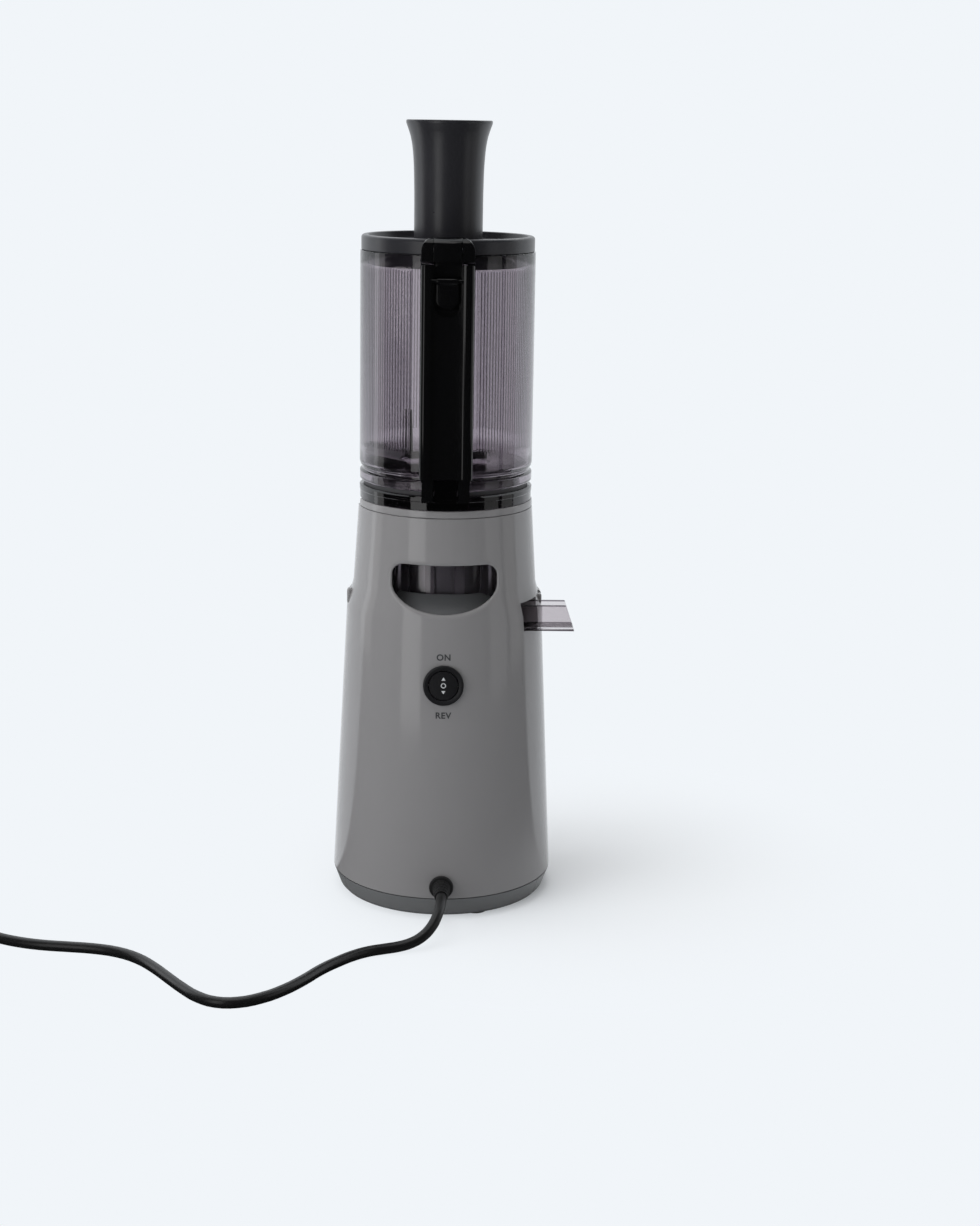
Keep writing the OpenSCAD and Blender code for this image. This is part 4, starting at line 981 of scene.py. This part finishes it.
class JUICER_OT_hopper(bpy.types.Operator):
    """Tall smoky hopper with upright flutes on its inner wall"""

    bl_idname = "juicer.hopper"
    bl_label = "Hopper"

    def execute(self, context):
        sizes = context.scene.juicer_sizes
        count, depth = sizes.flute_count, sizes.flute_depth * 1000
        inner = HOPPER_R - 2.6
        outline = rounded([
            (30, 292), (49.7, 292), (49.7, 278, 0.4), (52.1, 278, 0.4), (52.1, 284, 0.3), (57, 284, 0.4),
            (57.7, 285, 0.8), (57.7, 290.2, 0.8), (55.9, 291.2, 0.4), (55.9, 293.4, 0.4), (57.3, 294.2, 0.8),
            (HOPPER_R, 296.6, 1.2), (HOPPER_R - 0.3, HOPPER_TOP, 0.5), (inner - 0.3, HOPPER_TOP, 0.5)], 3)
        outline += [(inner - 0.25, z) for z in (426.2, 424.8, 423.4)]
        outline += [(inner, z) for z in (309.8, 308.4, 307)]
        outline += rounded([(inner, 300), (inner, 295, 3), (30, 295)], 5)[1:-1] + [(30, 295)]
        hopper = lathe("hopper_wall", outline, count * 4, degrees=50)
        bpy.ops.object.mode_set(mode="EDIT")
        step = 360 / (count * 4)
        # A flute is four steps wide, and runs out at its two ends.
        for phase, share in ((1, 0.72), (2, 1.0), (3, 0.72)):
            for low, high, part in ((424.4, 425.2, 0.55), (309.2, 424.0, 1.0), (308.0, 308.8, 0.55)):
                def on_flute(co):
                    if not (low < co.z < high and math.hypot(co.x, co.y) < inner + 0.5):
                        return False
                    angle = math.degrees(math.atan2(co.x, co.y))
                    if -FLUTES_FROM[0] < angle < FLUTES_FROM[1]:
                        return False
                    return round((angle % 360) / step) % 4 == phase
                grown = 1 + depth * share * part / inner
                widen(hopper, on_flute, grown, grown)
        leave_edit()
        combine(hopper, rod("notch_cutter", 10.15, 35, move(0, *HINGE) @ turned("Y", 90), 96))
        smooth(hopper, 50)
        fit(hopper, "smoke", "hopper", "smoke", "hopper")
        return {"FINISHED"}


class JUICER_OT_spine(bpy.types.Operator):
    """Black spine behind the hopper, with the lid's release button in its recess"""

    bl_idname = "juicer.spine"
    bl_label = "Spine and button"

    def execute(self, context):
        spine = eased_copy("hopper_spine", "spine_moulding", 0.55)
        # The right rail's inner edge slopes a little toward the recess, and catches the light.
        slope = [(-10.0, 67.2), (-10.0, 66.04), (-11.6, 66.53), (-11.6, 67.2)]
        combine(spine, plate("rail_slope", slope, 294 + LIFT, 431 + LIFT))
        combine(spine, block("recess_back", (-8.4, 57.9, 401 + LIFT), (8.4, 58.6, 421 + LIFT)), "UNION")
        smooth(spine)
        fit(spine, "gloss", "hopper", "black", "hopper_spine", lift=0)
        button = eased_copy("release_button", "release_lever", 0.5)
        fit(button, "gloss", "button", "black", "release_button", lift=0)
        return {"FINISHED"}


class JUICER_OT_lid(bpy.types.Operator):
    """Charcoal lid with its feed hole, and the black hood over the hinge"""

    bl_idname = "juicer.lid"
    bl_label = "Lid"

    def execute(self, context):
        feed, half = 23.2, 16.8
        tube = feed + 2.2
        ring = lathe("lid_ring", rounded([
            (feed, 424, 0.5), (tube, 424, 0.5), (tube, 438, 0.8), (52, 438, 0.5), (51.4, 425.5, 0.4),
            (53.2, 425.5, 0.6), (54.2, 434), (54.2, HOPPER_TOP + 0.3), (LID_R, HOPPER_TOP + 0.3, 0.4),
            (LID_R, LID_TOP, 2.2), (52.6, LID_TOP, 0.9), (51.6, 440.5, 0.6), (tube, 440.5, 0.6),
            (feed + 1, 441.6, 0.3), (feed, 441.6, 0.3)], 5), 192, degrees=40)
        # The hood is what its side and front outlines have in common.
        side = rounded([
            (52.5, 436), (52.5, 444.6, 0.8), (56, 446.5, 1.5), (68, 446.5, 5.4), (68, 431.7, 0.6), (64, 431.5),
            (58.6, 431.6), (58.4, 435.4)], 7)
        hood = plate("hinge_hood", side, -half, half, lay=turned("Z", 90) @ turned("X", 90))
        front = rounded([(-half, 430), (half, 430), (half, 446.6, 12), (-half, 446.6, 12)], 10)
        combine(hood, plate("hood_front", front, -80, -40, lay=turned("X", 90)), "INTERSECT")
        ease(hood, 0.5, 2, angle=40)
        for target in (ring, hood):
            combine(target, rod("hinge_room", 8.3, 18.4, move(0, *HINGE) @ turned("Y", 90), 96))
            combine(target, block("knuckle_room", (-9.2, 57.7, 424.5), (9.2, 71.7, 452.5)))
            smooth(target, 40)
        fit(ring, "lid", "lid", "lid", "lid")
        fit(hood, "gloss", "lid", "lid")
        return {"FINISHED"}


class JUICER_OT_pusher(bpy.types.Operator):
    """Round pusher with its flared top, hollow inside"""

    bl_idname = "juicer.pusher"
    bl_label = "Pusher"

    def execute(self, context):
        pusher = lathe("pusher_stem", rounded([
            (0, 425.5), (21.2, 425.5, 1), (22.5, 426.8, 0.6), (22.5, 466), (22.55, 472), (22.7, 480), (22.8, 485),
            (23, 490), (23.3, 494.5), (23.6, 498), (24, 501.5), (24.5, 504.5), (25.2, 507.8), (26.2, 511, 3),
            (28, 516, 2.4), (28.1, 518, 0.9), (25.7, 518, 1.2), (22.6, 507, 6), (20.7, 500, 4), (19.9, 484),
            (19.9, 430, 1.5), (0, 430)], 4), 192, degrees=40)
        fit(pusher, "lid", "pusher", "lid", "pusher")
        return {"FINISHED"}


class JUICER_OT_outlets(bpy.types.Operator):
    """Open smoky chute that carries the pulp away, and the hinged cap over the juice spout"""

    bl_idname = "juicer.outlets"
    bl_label = "Pulp chute and spout cap"

    def execute(self, context):
        chute = eased_copy("pulp_chute", "pulp_tray", 0.5)
        fit(chute, "smoke_tray", "chute", "smoke", "pulp_chute", lift=0)
        cap = eased_copy("juice_cap", "spout_cap", 0.5)
        fit(cap, "gloss", "cap", "black", "juice_cap", lift=0)
        return {"FINISHED"}


class JUICER_OT_hidden(bpy.types.Operator):
    """Finishes for the frame's own pieces: motor, gears, screws, seals and the parts in the bowl"""

    bl_idname = "juicer.hidden"
    bl_label = "Frame finishes"

    def execute(self, context):
        for finish, nodes in NODE_FINISH.items():
            for node in nodes:
                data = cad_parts[node].data
                data.materials.clear()
                data.materials.append(FINISH[finish])
        return {"FINISHED"}


class JUICER_PT_panel(bpy.types.Panel):
    """Pieces of the juicer, in the order that they are built"""

    bl_label = "Juicer"
    bl_idname = "JUICER_PT_panel"
    bl_space_type = "VIEW_3D"
    bl_region_type = "UI"
    bl_category = "Juicer"

    def draw(self, context):
        for group in (context.scene.juicer_sizes, context.scene.juicer_colours):
            box = self.layout.box()
            for key in group.bl_rna.properties.keys():
                if key not in ("rna_type", "name"):
                    box.prop(group, key)
        for operator in OPERATORS:
            self.layout.operator(operator.bl_idname)


OPERATORS = (
    JUICER_OT_stage, JUICER_OT_lead, JUICER_OT_tower, JUICER_OT_switch, JUICER_OT_hopper, JUICER_OT_spine,
    JUICER_OT_lid, JUICER_OT_pusher, JUICER_OT_outlets, JUICER_OT_hidden,
)
CLASSES = (JuicerSizes, JuicerColours) + OPERATORS + (JUICER_PT_panel,)


def register():
    for entry in CLASSES:
        bpy.utils.register_class(entry)
    bpy.types.Scene.juicer_sizes = bpy.props.PointerProperty(type=JuicerSizes)
    bpy.types.Scene.juicer_colours = bpy.props.PointerProperty(type=JuicerColours)


def unregister():
    del bpy.types.Scene.juicer_sizes, bpy.types.Scene.juicer_colours
    for entry in reversed(CLASSES):
        bpy.utils.unregister_class(entry)


def main():
    register()
    mix_finishes(bpy.context.scene.juicer_colours)
    for operator in OPERATORS:
        group, name = operator.bl_idname.split(".")
        getattr(getattr(bpy.ops, group), name)()
    clear_selection()


if __name__ == "__main__":
    main()
